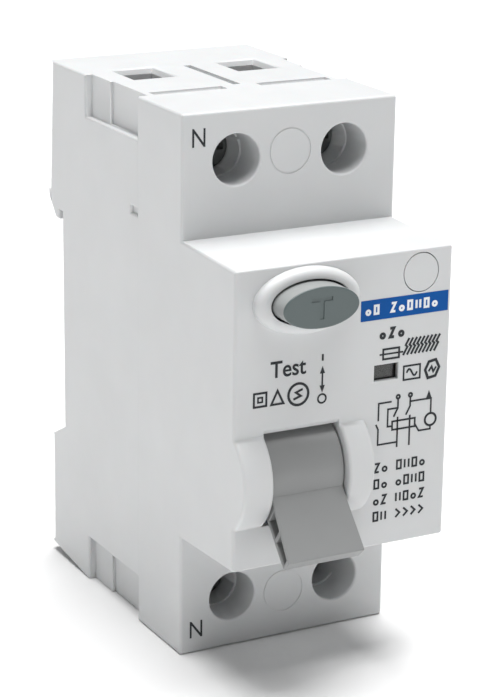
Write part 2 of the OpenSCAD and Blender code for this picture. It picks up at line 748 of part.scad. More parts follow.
module primary_conductors() color([0.15, 0.3, 0.6])
    for (side = [-1, 1])
        wire([[side * pole_x, -18, -2.6], [side * 6, -16, -3.4], [side * 3, core_y, -5.4],
            [side * 3, core_y, -20], [side * 6, core_y - 0.6, -24.4],
            [side * pole_x, bar_front + bar_t / 2, -25.4],
            [side * pole_x, bar_front + bar_t / 2, -27.2]], 2.8);

module transformer_core() color([0.45, 0.46, 0.48])
    translate([0, core_y, core_z]) rotate_extrude()
        translate([core_hole_d / 2, -core_h / 2]) square([(core_d - core_hole_d) / 2, core_h]);

module transformer_case() color([0.12, 0.12, 0.13])
    translate([0, core_y, core_z]) rotate_extrude() difference() {
        translate([core_hole_d / 2 - 0.8, -core_h / 2 - 0.8])
            square([(core_d - core_hole_d) / 2 + 1.6, core_h + 1.6]);
        translate([core_hole_d / 2, -core_h / 2]) square([(core_d - core_hole_d) / 2, core_h]);
    }

// Winding: closed loops of wire wrapped round the case over an arc
module secondary_winding() color([0.7, 0.36, 0.16])
    translate([0, core_y, core_z]) for (i = [0 : 13]) rotate([0, 0, 200 + i * 10])
        translate([(core_d + core_hole_d) / 4, 0, 0]) rotate([90, 0, 0]) linear_extrude(0.5, center = true)
            difference() {
                square([(core_d - core_hole_d) / 2 + 3, core_h + 3], center = true);
                square([(core_d - core_hole_d) / 2 + 2, core_h + 2], center = true);
            }

module secondary_leads() color([0.75, 0.2, 0.15])
    for (i = [0, 1])
        wire([[7 + i * 1.6, -25.9, -8], [8 + i * 1.6, -30, -10], [8 + i * 1.6, -34, -11.8],
            [8 + i * 1.6, relay_y + relay_d / 2 + 0.02, -11.8]], 0.9);

module relay_case() color([0.2, 0.21, 0.23])
    difference() {
        block([relay_x - relay_w / 2, relay_y - relay_d / 2, relay_z],
              [relay_x + relay_w / 2, relay_y + relay_d / 2, relay_z + relay_h]);
        block([relay_x - relay_w / 2 + 1, relay_y - relay_d / 2 + 1, relay_z + 1],
              [relay_x + relay_w / 2 - 1, relay_y + relay_d / 2 - 1, relay_z + relay_h - 1.4]);
        translate([relay_x, relay_y, relay_z + relay_h - 2]) cylinder(d = plunger_d + 2 * pin_clear, h = 4);
    }

module relay_coil() color([0.7, 0.36, 0.16])
    translate([relay_x, relay_y, relay_z + 1]) difference() {
        cylinder(d = 8, h = 9);
        translate([0, 0, -1]) cylinder(d = plunger_d + 0.8, h = 12);
    }

module relay_plunger() color([0.72, 0.73, 0.75])
    translate([relay_x, relay_y, relay_z + 3]) cylinder(d = plunger_d, h = relay_h - 3 + plunger_out);

module trip_latch() color([0.68, 0.69, 0.7])
    difference() {
        union() {
            rod_x(4, latch_y, latch_z, 6, 12.6);
            block([relay_x - 2.6, relay_y - 1.6, relay_z + relay_h + plunger_out + 0.1],
                  [relay_x + 2.6, latch_y, relay_z + relay_h + plunger_out + 1.3]);
            block([6, latch_y - 0.9, latch_z], [8, latch_y + 0.9, latch_z + 9]);
        }
        rod_x(1.6 + 2 * pin_clear, latch_y, latch_z, 5, 14);
    }

module latch_axle() color([0.72, 0.73, 0.75])
    rod_x(1.6, latch_y, latch_z, 4.4, frame_x + frame_t);

module latch_spring() color([0.65, 0.66, 0.68])
    for (i = [0 : 2])
        translate([5.6 - i * 0.5, latch_y, latch_z]) rotate([0, 90, 0])
            rotate_extrude($fn = 32) translate([1.4, 0]) circle(d = 0.4, $fn = 16);

// Test circuit resistor with its bent leads
module test_resistor() color([0.8, 0.7, 0.5])
    translate([resistor_x, resistor_y, resistor_z]) cylinder(d = 3, h = 7.4);

module test_lead() color([0.8, 0.8, 0.78])
    wire([[resistor_x, resistor_y, resistor_z + 7.4], [resistor_x, resistor_y, 19.9],
        [resistor_x, -44, 19.9]], 0.7);

// Terminal screw: head with crossed slots, threaded shank, at pole x and height z
module terminal_screw(x, z) {
    head_y = well_floor_y - head_gap;
    shank_end = bar_front - tip_gap;
    color([0.75, 0.76, 0.78]) difference() {
        union() {
            rod_y(screw_head_d, x, z, head_y - head_t, head_y);
            rod_y(screw_d, x, z, head_y - 0.01, shank_end);
        }
        block([x - 2.4, head_y - head_t - cut, z - 0.5], [x + 2.4, head_y - head_t + 1.3, z + 0.5]);
        block([x - 0.5, head_y - head_t - cut, z - 2.4], [x + 0.5, head_y - head_t + 1.3, z + 2.4]);
    }
}

// Cage clamp: square ring open along Z, tapped at the front
module terminal_cage(x, z) {
    w = cage_in_w / 2;
    color([0.8, 0.79, 0.72]) difference() {
        block([x - w - cage_t, cage_front - cage_front_t, z - cage_h / 2],
              [x + w + cage_t, cage_back + cage_t, z + cage_h / 2]);
        block([x - w, cage_front, z - cage_h], [x + w, cage_back, z + cage_h]);
        rod_y(screw_d + 2 * screw_clear, x, z, cage_front - cage_front_t - 1, cage_front + 1);
    }
}

base_housing();
front_cover();
housing_screws();
calibration_plug();
indicator_window();
rail_clip();
rail_clip_spring();
toggle_lever();
toggle_axle();
toggle_spring();
crank_pin();
drive_link();
indicator_flag();
test_button();
test_button_spring();
test_contact_blade();
test_contact_post();
test_resistor();
test_lead();
mechanism_frame();
pole_barrier();
contact_shaft();
moving_contact_arms();
moving_contact_tips();
contact_springs();
fixed_contact_tips();
flexible_braids();
upper_terminal_bars();
lower_terminal_bars();
primary_conductors();
transformer_core();
transformer_case();
secondary_winding();
secondary_leads();
relay_case();
relay_plunger();
relay_coil();
trip_latch();
latch_axle();
latch_spring();
terminal_screw(-pole_x, screw_z);  // upper_left_screw
terminal_screw(pole_x, screw_z);  // upper_right_screw
terminal_screw(-pole_x, -screw_z);  // lower_left_screw
terminal_screw(pole_x, -screw_z);  // lower_right_screw
terminal_cage(-pole_x, screw_z);  // upper_left_cage
terminal_cage(pole_x, screw_z);  // upper_right_cage
terminal_cage(-pole_x, -screw_z);  // lower_left_cage
terminal_cage(pole_x, -screw_z);  // lower_right_cage
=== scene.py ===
"""A two-module residual current device for a DIN rail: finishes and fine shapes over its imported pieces."""
import math

import bmesh
import bpy
from mathutils import Matrix, Vector


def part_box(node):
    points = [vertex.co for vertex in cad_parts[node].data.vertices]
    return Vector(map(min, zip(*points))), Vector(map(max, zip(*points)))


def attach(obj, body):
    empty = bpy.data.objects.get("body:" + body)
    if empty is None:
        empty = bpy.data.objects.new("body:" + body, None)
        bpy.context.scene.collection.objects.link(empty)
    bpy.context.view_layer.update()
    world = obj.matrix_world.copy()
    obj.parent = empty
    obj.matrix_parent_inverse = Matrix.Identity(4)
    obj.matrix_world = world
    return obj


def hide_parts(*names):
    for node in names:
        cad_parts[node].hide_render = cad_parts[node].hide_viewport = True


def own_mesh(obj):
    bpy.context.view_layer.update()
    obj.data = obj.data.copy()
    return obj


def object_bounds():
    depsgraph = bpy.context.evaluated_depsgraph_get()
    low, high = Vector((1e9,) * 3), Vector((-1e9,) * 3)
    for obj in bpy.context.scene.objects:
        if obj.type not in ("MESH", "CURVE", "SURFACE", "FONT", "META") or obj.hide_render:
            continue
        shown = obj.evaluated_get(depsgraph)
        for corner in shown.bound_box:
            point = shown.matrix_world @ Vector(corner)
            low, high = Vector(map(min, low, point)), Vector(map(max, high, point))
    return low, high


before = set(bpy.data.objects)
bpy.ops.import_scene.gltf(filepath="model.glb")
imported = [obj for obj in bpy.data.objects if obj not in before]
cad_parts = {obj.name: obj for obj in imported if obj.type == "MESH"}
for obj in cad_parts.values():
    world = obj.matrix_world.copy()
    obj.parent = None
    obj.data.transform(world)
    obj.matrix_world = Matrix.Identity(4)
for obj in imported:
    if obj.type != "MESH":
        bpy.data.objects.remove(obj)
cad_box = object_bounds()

# ------------------------------------------------------------
# The studio: a pale floor under the device, a long lens high on its left, one wide soft lamp
# overhead and a weak one from the left.
# ------------------------------------------------------------
mm = 0.001
aim = Vector((1.7, -27.95, -0.1)) * mm
lens_distance = 372.7 * mm
lens_turn, lens_height, lens_roll = math.radians(-28.12), math.radians(17.14), math.radians(0.72)

view = bpy.data.cameras.new("view")
view.sensor_fit = "HORIZONTAL"
view.sensor_width = 36
view.lens = 171.4
view.clip_start = 0.01
camera = bpy.data.objects.new("view", view)
camera.matrix_world = (
    Matrix.Translation(aim)
    @ Matrix.Rotation(lens_turn, 4, "Z")
    @ Matrix.Rotation(math.pi / 2 - lens_height, 4, "X")
    @ Matrix.Rotation(lens_roll, 4, "Z")
    @ Matrix.Translation((0, 0, lens_distance))
)
bpy.context.scene.collection.objects.link(camera)
bpy.context.scene.camera = camera
bpy.context.scene.view_settings.view_transform = "Standard"


def soft_lamp(name, place, size, watts):
    """Square soft lamp that shines at the middle of the device."""
    lamp = bpy.data.lights.new(name, "AREA")
    lamp.size = size
    lamp.energy = watts
    holder = bpy.data.objects.new(name, lamp)
    place = Vector(place)
    holder.location = place
    holder.rotation_euler = (place - aim).to_track_quat("Z", "Y").to_euler()
    bpy.context.scene.collection.objects.link(holder)


soft_lamp("overhead_lamp", (0.25, 0.02, 3.0), 2.4, 168.0)
soft_lamp("left_lamp", (-1.2, -0.5, 0.5), 0.8, 0.9)

world = bpy.data.worlds.new("studio_air")
world.use_nodes = True
world.node_tree.nodes["Background"].inputs["Color"].default_value = (1.0, 1.0, 1.0, 1.0)
world.node_tree.nodes["Background"].inputs["Strength"].default_value = 0.14
bpy.context.scene.world = world

floor_half = 4.0
floor_z = cad_box[0][2] - 0.02 * mm
floor_mesh = bpy.data.meshes.new("studio_floor")
floor_mesh.from_pydata(
    [(x * floor_half, y * floor_half, floor_z) for x, y in ((-1, -1), (1, -1), (1, 1), (-1, 1))],
    [], [(0, 1, 2, 3)],
)
floor_paper = bpy.data.materials.new("floor_paper")
floor_paper.use_nodes = True
floor_shader = floor_paper.node_tree.nodes["Principled BSDF"]
floor_shader.inputs["Base Color"].default_value = (0.88, 0.88, 0.88, 1)
floor_shader.inputs["Roughness"].default_value = 0.9
floor_mesh.materials.append(floor_paper)
floor = bpy.data.objects.new("studio_floor", floor_mesh)
bpy.context.scene.collection.objects.link(floor)

# ------------------------------------------------------------
# The housing: a base that hooks on the rail and a stepped front cover, both injection moulded
# in light grey polyamide with a fine spark-eroded surface. They close at a flush joint.
# ------------------------------------------------------------
half_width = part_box("front_cover")[1].x / mm
nose_y = -60.0
shoulder_y = -43.2
seam_y = -28.5
nose_z = 22.5
pole_x, screw_z, well_r = 9.0, 34.2, 3.85
bezel_x, bezel_z = -6.6, 17.2
bezel_half_w, bezel_half_h = 8.5, 4.9
button_half_w, button_half_h = 6.4, 3.35


def add_node(tree, kind, **inputs):
    """Adds a node to a tree. Each input is set to a value or linked from another node's output;
    a space in its name is written as an underscore."""
    node = tree.nodes.new(kind)
    for label, value in inputs.items():
        socket = node.inputs[label.replace("_", " ")]
        if isinstance(value, bpy.types.NodeSocket):
            tree.links.new(value, socket)
        else:
            socket.default_value = value
    return node


def noise(tree, place, scale, detail):
    return add_node(tree, "ShaderNodeTexNoise", Vector=place, Scale=scale, Detail=detail).outputs["Fac"]


def new_paint(name):
    """A material, with its node tree, its shader and the object coordinates its noises use."""
    paint = bpy.data.materials.new(name)
    paint.use_nodes = True
    tree = paint.node_tree
    return paint, tree, tree.nodes["Principled BSDF"], add_node(tree, "ShaderNodeTexCoord").outputs["Object"]


def surface(tree, colour, tones, clouds, gloss_span, gloss, relief, strength, depth):
    """Tone clouds, uneven gloss and fine relief, each from a noise. tones are the darkest and
    lightest shares of the colour, gloss_span the least and most roughness, depth in millimetres."""
    shader = tree.nodes["Principled BSDF"]
    tone = add_node(tree, "ShaderNodeValToRGB", Fac=clouds)
    for stop, at, share in zip(tone.color_ramp.elements, (0.3, 0.7), tones):
        stop.position = at
        stop.color = (*(min(1, c * share) for c in colour), 1)
    uneven = add_node(tree, "ShaderNodeMapRange", Value=gloss, To_Min=gloss_span[0], To_Max=gloss_span[1])
    bump = add_node(tree, "ShaderNodeBump", Height=relief, Strength=strength, Distance=depth * mm)
    tree.links.new(tone.outputs["Color"], shader.inputs["Base Color"])
    tree.links.new(uneven.outputs["Result"], shader.inputs["Roughness"])
    tree.links.new(bump.outputs["Normal"], shader.inputs["Normal"])


def moulded_plastic(name, colour, rough, grain=0.16, grain_depth=0.012, cloud=0.02, subsurface=0.0):
    """Moulded plastic: slow colour clouds, a sparkle of erosion grain and uneven gloss.
    grain is the pitch of the erosion texture and grain_depth its height, in millimetres."""
    paint, tree, shader, place = new_paint(name)
    surface(
        tree, colour, (1 - cloud, 1 + cloud), noise(tree, place, 90, 4), (rough - 0.07, rough + 0.07),
        noise(tree, place, 260, 3), noise(tree, place, 1 / (grain * mm), 2), 0.35, grain_depth,
    )
    if subsurface:
        shader.inputs["Subsurface Weight"].default_value = subsurface
        shader.inputs["Subsurface Scale"].default_value = 0.5 * mm
    return paint


def plain_mesh(holder):
    """What an object's modifiers make of it, as a mesh of its own. The object is used up."""
    bpy.context.view_layer.update()
    held = holder.evaluated_get(bpy.context.evaluated_depsgraph_get())
    mesh = bpy.data.meshes.new_from_object(held)
    bpy.data.objects.remove(holder)
    return mesh


def held_object(name, mesh):
    holder = bpy.data.objects.new(name, mesh)
    bpy.context.scene.collection.objects.link(holder)
    return holder


def smooth_shaded(mesh, sharp=28):
    """Smooth shading that stays crisp on edges sharper than the angle, with flat faces kept flat."""
    mesh.polygons.foreach_set("use_smooth", [True] * len(mesh.polygons))
    mesh.set_sharp_from_angle(angle=math.radians(sharp))
    holder = held_object("shading", mesh)
    weighted = holder.modifiers.new("flat_faces", "WEIGHTED_NORMAL")
    weighted.keep_sharp = True
    return plain_mesh(holder)


def rounded_mesh(node, radius, segments=3, sharp=28):
    """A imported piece's mesh with its loose triangles joined and its edges rounded.
    radius gives an edge's rounding in millimetres from its middle, its direction and whether
    it stands out."""
    same_place, nearly_flat = 0.002 * mm, math.radians(0.6)
    shape = bmesh.new()
    shape.from_mesh(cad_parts[node].data)
    bmesh.ops.remove_doubles(shape, verts=shape.verts, dist=same_place)
    bmesh.ops.dissolve_limit(shape, angle_limit=nearly_flat, verts=shape.verts, edges=shape.edges)
    weight = shape.edges.layers.float.new("bevel_weight_edge")
    wanted = []
    for edge in shape.edges:
        if len(edge.link_faces) == 2 and edge.calc_face_angle(0) > math.radians(sharp):
            a, b = (corner.co / mm for corner in edge.verts)
            wanted.append((edge, radius((a + b) / 2, (b - a).normalized(), edge.is_convex)))
    widest = max([size for _, size in wanted] + [0.01])
    for edge, size in wanted:
        edge[weight] = size / widest
    mesh = bpy.data.meshes.new(node)
    shape.to_mesh(mesh)
    shape.free()
    holder = held_object(node, mesh)
    bevel = holder.modifiers.new("rounding", "BEVEL")
    bevel.limit_method = "WEIGHT"
    bevel.width = widest * mm
    bevel.segments = segments
    bevel.use_clamp_overlap = False
    bevel.loop_slide = False
    return smooth_shaded(plain_mesh(holder))


def seat(name, mesh, paint, body, finish, *nodes):
    """Makes a finished mesh a piece: its paint, its body and the nodes it stands for. finish is not used."""
    mesh.materials.clear()
    mesh.materials.append(paint)
    mesh.name = name
    piece = held_object(name, mesh)
    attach(piece, body)
    if nodes:
        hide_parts(*nodes)
    return piece


def on_ellipse(x, z, half_w, half_h, slack=0.15):
    """Whether a point lies on an upright ellipse, to within a share of its size."""
    return abs(math.hypot(x / half_w, z / half_h) - 1) < slack / min(half_w, half_h)


def base_rounding(middle, along, convex):
    """Rounding of the base's edges: wide down the back corners, small round the outside, and a
    bare break of the edge at the joint and inside."""
    x, y, z = abs(middle.x), middle.y, abs(middle.z)
    if not convex:
        return 0.0
    if y < seam_y + 0.1:
        return 0.04
    if x > half_width - 0.05 and y > 4.5 and abs(along.z) > 0.9:
        return 2.2
    if x > half_width - 0.05 or (z > 41.3 and abs(along.x) > 0.9 and (y > 4 or y < seam_y)):
        return 0.4
    if z > 41.3 and 4 < x < 14 and -18 < y < -6:
        return 0.35
    if x > 15 and z > 34.5:
        return 0.15
    return 0.08


def cover_rounding(middle, along, convex):
    """Rounding of the cover's edges: full round the bezel, soft on the nose and the outside, fine
    at the wells, and none where the cover meets the base."""
    x, y, z = middle
    side, height = abs(x), abs(z)
    if not convex:
        return 0.0
    if y > seam_y - 0.1:
        return 0.04 if side > half_width - 0.1 or height > 41 else 0.0
    if y < nose_y - 0.2:
        from_bezel = x - bezel_x, z - bezel_z
        if on_ellipse(*from_bezel, bezel_half_w, bezel_half_h):
            return 1.35
        if on_ellipse(*from_bezel, button_half_w, button_half_h):
            return 0.12
        return 0.55
    if side > half_width - 0.05 or height > 41.2:
        return 0.5
    if abs(y - shoulder_y) < 0.05:
        if abs(math.hypot(side - pole_x, height - screw_z) - well_r) < 0.2:
            return 0.35
        return 0.0
    if abs(along.x) > 0.9 and height > nose_z - 0.1 and y < nose_y + 0.05:
        return 0.3
    if y < nose_y + 0.05:
        return 0.12
    return 0.0


housing_white = moulded_plastic("housing_white_plastic", (0.64, 0.65, 0.655), 0.40, subsurface=0.04)
seat(
    "base_moulding", rounded_mesh("base_housing", base_rounding), housing_white,
    "housing", "housing_white", "base_housing",
)
seat(
    "cover_moulding", rounded_mesh("front_cover", cover_rounding, segments=5), housing_white,
    "housing", "housing_white", "front_cover",
)

# ------------------------------------------------------------
# Two long steel screws go in from the back and hold base and cover together. Pressed heads
# with crossed slots, zinc plated.
# ------------------------------------------------------------


def drawn_metal(name, colour, rough, line=0.08, stretch=(1, 1, 1), wear=0.12):
    """Bare or plated metal with fine drawing lines, uneven gloss and slow tone clouds.
    line is the pitch of the lines in millimetres; stretch below 1 draws them out along an axis."""
    paint, tree, shader, place = new_paint(name)
    shader.inputs["Metallic"].default_value = 1.0
    drawn = add_node(tree, "ShaderNodeMapping", Vector=place, Scale=stretch).outputs["Vector"]
    clouds = noise(tree, place, 700, 4)
    surface(
        tree, colour, (1 - wear, 1 + wear / 2), clouds, (rough - 0.08, rough + 0.12),
        clouds, noise(tree, drawn, 1 / (line * mm), 2), 0.25, 0.006,
    )
    return paint


def fine_edge(size):
    """The same small rounding on every edge that stands out."""
    return lambda middle, along, convex: size if convex else 0.0


zinc_plate = drawn_metal("zinc_plated_steel", (0.60, 0.61, 0.63), 0.32)
bright_steel = drawn_metal("bright_spring_steel", (0.63, 0.63, 0.64), 0.26, stretch=(0.2, 1, 1))
seat(
    "housing_screw_pair", rounded_mesh("housing_screws", fine_edge(0.12)), zinc_plate,
    "housing", "steel", "housing_screws",
)

# ------------------------------------------------------------
# The calibration plug: a flush disc of the cover's plastic pressed over the adjusting hole, so
# that only a hairline ring shows.
# ------------------------------------------------------------
seat(
    "calibration_disc", rounded_mesh("calibration_plug", fine_edge(0.06)), housing_white,
    "housing", "housing_white", "calibration_plug",
)

# ------------------------------------------------------------
# The position window: a clear polycarbonate pane behind an oblong hole, and the sliding flag
# seen through it, green on its upper half; its near-black lower half is painted shade.
# ------------------------------------------------------------
window_clear, window_tree, pane, window_place = new_paint("window_polycarbonate")
pane.inputs["Base Color"].default_value = (0.22, 0.25, 0.22, 1)
pane.inputs["Transmission Weight"].default_value = 1.0
pane.inputs["IOR"].default_value = 1.58
pane.inputs["Specular IOR Level"].default_value = 0.05
scuff_noise = noise(window_tree, window_place, 900, 2)
scuffs = add_node(window_tree, "ShaderNodeMapRange", Value=scuff_noise, To_Min=0.03, To_Max=0.14)
window_tree.links.new(scuffs.outputs["Result"], pane.inputs["Roughness"])
seat(
    "window_pane", rounded_mesh("indicator_window", fine_edge(0.1)), window_clear,
    "housing", "window_clear", "indicator_window",
)



def two_tone(paint, colour, axis, at, blur=0.0):
    """Gives a moulded plastic a second colour above a place on an axis, in millimetres."""
    tree = paint.node_tree
    place = add_node(tree, "ShaderNodeTexCoord").outputs["Object"]
    split = add_node(tree, "ShaderNodeSeparateXYZ", Vector=place)
    above = add_node(
        tree, "ShaderNodeMapRange", Value=split.outputs[axis],
        From_Min=(at - blur) * mm, From_Max=(at + blur + 0.001) * mm,
    )
    both = tree.nodes.new("ShaderNodeMix")
    both.data_type = "RGBA"
    both.inputs["B"].default_value = (*colour, 1)
    tree.links.new(above.outputs["Result"], both.inputs["Factor"])
    tree.links.new(tree.nodes["Color Ramp"].outputs["Color"], both.inputs["A"])
    tree.links.new(both.outputs["Result"], tree.nodes["Principled BSDF"].inputs["Base Color"])
    return paint


flag_low, flag_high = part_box("indicator_flag")
# the green above the middle is the flag's own colour; the near-black below it is painted shade
flag_paint = two_tone(
    moulded_plastic("flag_two_colour", (0.012, 0.013, 0.014), 0.4), (0.02, 0.11, 0.05),
    "Z", (flag_low.z + flag_high.z) / 2 / mm,
)
seat(
    "position_flag", rounded_mesh("indicator_flag", fine_edge(0.15)), flag_paint,
    "flag", "flag_colour", "indicator_flag",
)
flag_paint.node_tree.nodes["Principled BSDF"].inputs["Specular IOR Level"].default_value = 0.15

# ------------------------------------------------------------
# Printing on the front: pad-printed dark grey marks and a blue strip. The marks are the neutral
# pole's N, the test and position marks, and plain drawings and rows of signs that say nothing
# where a maker prints its ratings and circuit. All are placed by x and z in millimetres.
# ------------------------------------------------------------
ink_thickness = 0.03


def printing_ink(name, colour):
    """Matt printing ink with small pinholes in its density."""
    paint = moulded_plastic(name, colour, 0.55, grain=0.09, grain_depth=0.004, cloud=0.12)
    paint.node_tree.nodes["Principled BSDF"].inputs["Specular IOR Level"].default_value = 0.15
    return paint


class Print:
    """Flat marks gathered into one thin mesh on a front face at y, in millimetres."""

    def __init__(self, y):
        self.shape = bmesh.new()
        self.y = y
        self.strokes = 0

    def next_thickness(self):
        """Each stroke stands a hair prouder than the last few, so crossing strokes share no face."""
        self.strokes += 1
        return ink_thickness + 0.003 * (self.strokes % 5)

    def corner(self, x, z, out):
        return self.shape.verts.new((x * mm, (self.y - out) * mm, z * mm))

    def slab(self, outline):
        """A closed outline of (x, z) points, anticlockwise from the front, raised by the ink."""
        out = self.next_thickness()
        back = [self.corner(x, z, 0) for x, z in outline]
        front = [self.corner(x, z, out) for x, z in outline]
        self.shape.faces.new(front)
        self.shape.faces.new(reversed(back))
        for i in range(len(outline)):
            j = (i + 1) % len(outline)
            self.shape.faces.new((back[i], back[j], front[j], front[i]))

    def bar(self, x0, z0, x1, z1):
        self.slab([(x0, z0), (x1, z0), (x1, z1), (x0, z1)])

    def path(self, points, width=0.26, closed=False):
        """A stroke along points, with mitred corners. A closed one runs anticlockwise."""
        out, count = self.next_thickness(), len(points)
        points = [Vector(point) for point in points]
        rows = []
        for i, point in enumerate(points):
            before, after = points[i - 1], points[(i + 1) % count]
            ways = []
            if closed or i > 0:
                ways.append((point - before).normalized())
            if closed or i < count - 1:
                ways.append((after - point).normalized())
            way = sum(ways, Vector((0, 0))).normalized()
            across = Vector((way.y, -way.x))
            reach = width / 2 / max(0.45, way.dot(ways[0]))
            right, left = point + across * reach, point - across * reach
            rows.append([self.corner(*right, 0), self.corner(*right, out),
                         self.corner(*left, out), self.corner(*left, 0)])
        for i in range(count if closed else count - 1):
            here, there = rows[i], rows[(i + 1) % count]
            for a in range(4):
                b = (a + 1) % 4
                self.shape.faces.new((here[a], there[a], there[b], here[b]))
        if not closed:
            self.shape.faces.new(rows[0])
            self.shape.faces.new(reversed(rows[-1]))

    def line(self, a, b, width=0.26):
        self.path([a, b], width)

    def frame(self, x0, z0, x1, z1, width=0.26):
        self.path([(x0, z0), (x1, z0), (x1, z1), (x0, z1)], width, closed=True)

    def ring(self, x, z, r, width=0.26, steps=28):
        turns = [2 * math.pi * i / steps for i in range(steps)]
        self.path([(x + r * math.cos(turn), z + r * math.sin(turn)) for turn in turns], width, closed=True)

    def arrow(self, x, z, up, size=0.55):
        self.slab([(x - size / 2, z), (x + size / 2, z), (x, z + size * 1.3)] if up
                  else [(x - size / 2, z), (x, z - size * 1.3), (x + size / 2, z)])

    def word(self, text, x, z, height, width=1.0, bold=0.0):
        """Letters with their feet at z, standing height tall, starting at x. bold widens their strokes."""
        capital_share = 0.69
        letters = bpy.data.curves.new("letters", "FONT")
        letters.body = text
        letters.size = height * mm / capital_share
        letters.extrude = ink_thickness * mm / 2
        letters.offset = bold * mm
        mesh = plain_mesh(held_object("letters", letters))
        mesh.transform(
            Matrix.Translation((x * mm, (self.y - ink_thickness / 2) * mm, z * mm))
            @ Matrix.Rotation(math.pi / 2, 4, "X") @ Matrix.Diagonal((width, 1, 1, 1))
        )
        self.shape.from_mesh(mesh)

    def signs(self, x0, x1, z, height, first, stroke=0.3):
        """A row of plain signs, bars, boxes, rings and zigzags, where a line of small type would be."""
        x, kind, wide = x0, first, height * 0.62
        while x + wide < x1 + 0.05:
            kind = (kind * 5 + 3) % 7
            low, high = z + stroke / 2, z + height - stroke / 2
            left, right = x + stroke / 2, x + wide - stroke / 2
            middle = (low + high) / 2
            if kind in (0, 4):
                self.frame(left, low, right, high, stroke)
            elif kind == 1:
                self.path([(left, low), (right, middle), (left, high)], stroke)
            elif kind in (2, 5):
                self.ring((left + right) / 2, low + (right - left) / 2, (right - left) / 2, stroke, 14)
            elif kind == 3:
                self.line((left, low), (left, high), stroke)
                self.line((right, low), (right, high), stroke)
            else:
                self.path([(left, high), (right, high), (left, low), (right, low)], stroke)
            x += wide + stroke * 1.15

    def mesh(self, name):
        bmesh.ops.recalc_face_normals(self.shape, faces=self.shape.faces)
        made = bpy.data.meshes.new(name)
        self.shape.to_mesh(made)
        self.shape.free()
        return made


dark_ink = printing_ink("dark_grey_ink", (0.035, 0.038, 0.042))
blue_ink = printing_ink("blue_ink", (0.0005, 0.082, 0.33))
white_ink = printing_ink("white_ink", (0.82, 0.84, 0.86))

nose_print = Print(nose_y)
nose_print.word("Test", -12.1, 6.2, 2.4, 0.92, 0.05)
# position marks: I, a double arrow and O
nose_print.line((-3.6, 8.7), (-3.6, 7.7), 0.3)
nose_print.line((-3.6, 6.6), (-3.6, 3.3), 0.26)
nose_print.arrow(-3.6, 5.8, True, 0.85)
nose_print.arrow(-3.6, 4.0, False, 0.85)
nose_print.ring(-3.6, 2.0, 0.66, 0.28)
# plain symbols beside them: a square in a square, a triangle, and a ringed zigzag
nose_print.frame(-14.7, 2.2, -12.7, 4.2, 0.32)
nose_print.frame(-14.05, 2.85, -13.35, 3.55, 0.26)
nose_print.path([(-11.9, 2.2), (-9.9, 2.2), (-10.9, 4.2)], 0.32, closed=True)
nose_print.ring(-7.5, 3.2, 1.62, 0.38)
nose_print.path([(-8.3, 2.5), (-7.1, 2.9), (-7.9, 3.5), (-6.8, 3.9)], 0.34)
# rating block
nose_print.signs(5.8, 10.6, 9.55, 1.75, 4, 0.42)
# fuse and hatched box
nose_print.frame(6.5, 6.5, 9.2, 8.0, 0.3)
nose_print.line((5.9, 7.25), (9.9, 7.25), 0.26)
for i in range(9):
    hatch = ((9.9, 6.7), (10.6, 7.9), (10.3, 8.2), (10.9, 9.2))
    nose_print.path([(x + i * 0.66, z) for x, z in hatch], 0.34)
# wave and pulse symbols
nose_print.frame(10.1, 2.85, 12.9, 4.95, 0.28)
nose_print.path([(10.6 + i * 0.18, 3.9 + 0.55 * math.sin(i * math.pi / 5)) for i in range(11)], 0.28)
nose_print.path(
    [(14.3, 2.6), (15.6, 2.8), (16.2, 4.1), (15.6, 5.3), (14.4, 5.1), (13.8, 3.9)], 0.42, closed=True,
)
nose_print.path([(14.4, 3.6), (14.9, 4.3), (15.2, 3.5), (15.7, 4.2)], 0.3)
# circuit drawing
for x in (9.3, 11.4):
    nose_print.path([(x, 0.3), (x, -1.3), (x - 0.7, -2.6)], 0.28)
    nose_print.line((x, -2.7), (x, -7.4), 0.28)
    nose_print.ring(x, 0.4, 0.28, 0.3, 12)
nose_print.frame(8.4, -4.6, 12.3, -3.3, 0.28)
nose_print.path([(8.4, -4.0), (7.6, -4.0), (7.6, -1.3), (9.3, -1.3)])
nose_print.path([(9.3, -6.6), (6.0, -6.6), (6.0, -4.2), (5.6, -3.4)])
nose_print.path([(6.0, -2.9), (6.0, -0.2), (8.2, -0.2)])
nose_print.path([(11.4, -0.6), (15.0, -0.6), (15.0, -3.0)])
nose_print.ring(15.0, -3.9, 0.95, 0.34)
nose_print.path([(12.3, -4.2), (13.0, -5.4), (15.0, -5.4), (15.0, -4.9)])
nose_print.arrow(14.6, -0.75, True, 1.1)
# four lines of small type
for row in range(4):
    z = -11.0 - row * 2.55
    nose_print.signs(5.5, 8.4, z, 1.6, 2 + row)
    nose_print.signs(9.3, 14.4, z, 1.6, 5 + row)
seat("front_printing", nose_print.mesh("front_printing"), dark_ink, "housing", "dark_plastic")

strip = Print(nose_y)
strip.bar(2.55, 12.65, half_width - 0.56, 15.75)
seat("blue_strip", strip.mesh("blue_strip"), blue_ink, "housing", "wire_blue")
strip_print = Print(nose_y - ink_thickness)
strip_print.signs(3.3, 6.6, 13.45, 1.55, 6, 0.36)
strip_print.signs(7.5, 16.4, 13.45, 1.6, 2, 0.36)
seat("strip_printing", strip_print.mesh("strip_printing"), white_ink, "housing", "housing_white")

shoulder_print = Print(shoulder_y)
for z in (36.6, -39.8):
    shoulder_print.word("N", -16.5, z, 2.75, 0.84)
seat("pole_letters", shoulder_print.mesh("pole_letters"), dark_ink, "housing", "dark_plastic")

# ------------------------------------------------------------
# Four terminal screws: steel, rolled thread, cheese heads with a crossed recess, plated
# with zinc. Each turns in its well and draws up a folded steel cage that grips the wire.
# ------------------------------------------------------------
screw_head_r, screw_head_h, screw_r, thread_pitch = 3.3, 2.6, 2.5, 0.8
passivated_zinc = drawn_metal("passivated_zinc", (0.24, 0.25, 0.245), 0.34, wear=0.2)


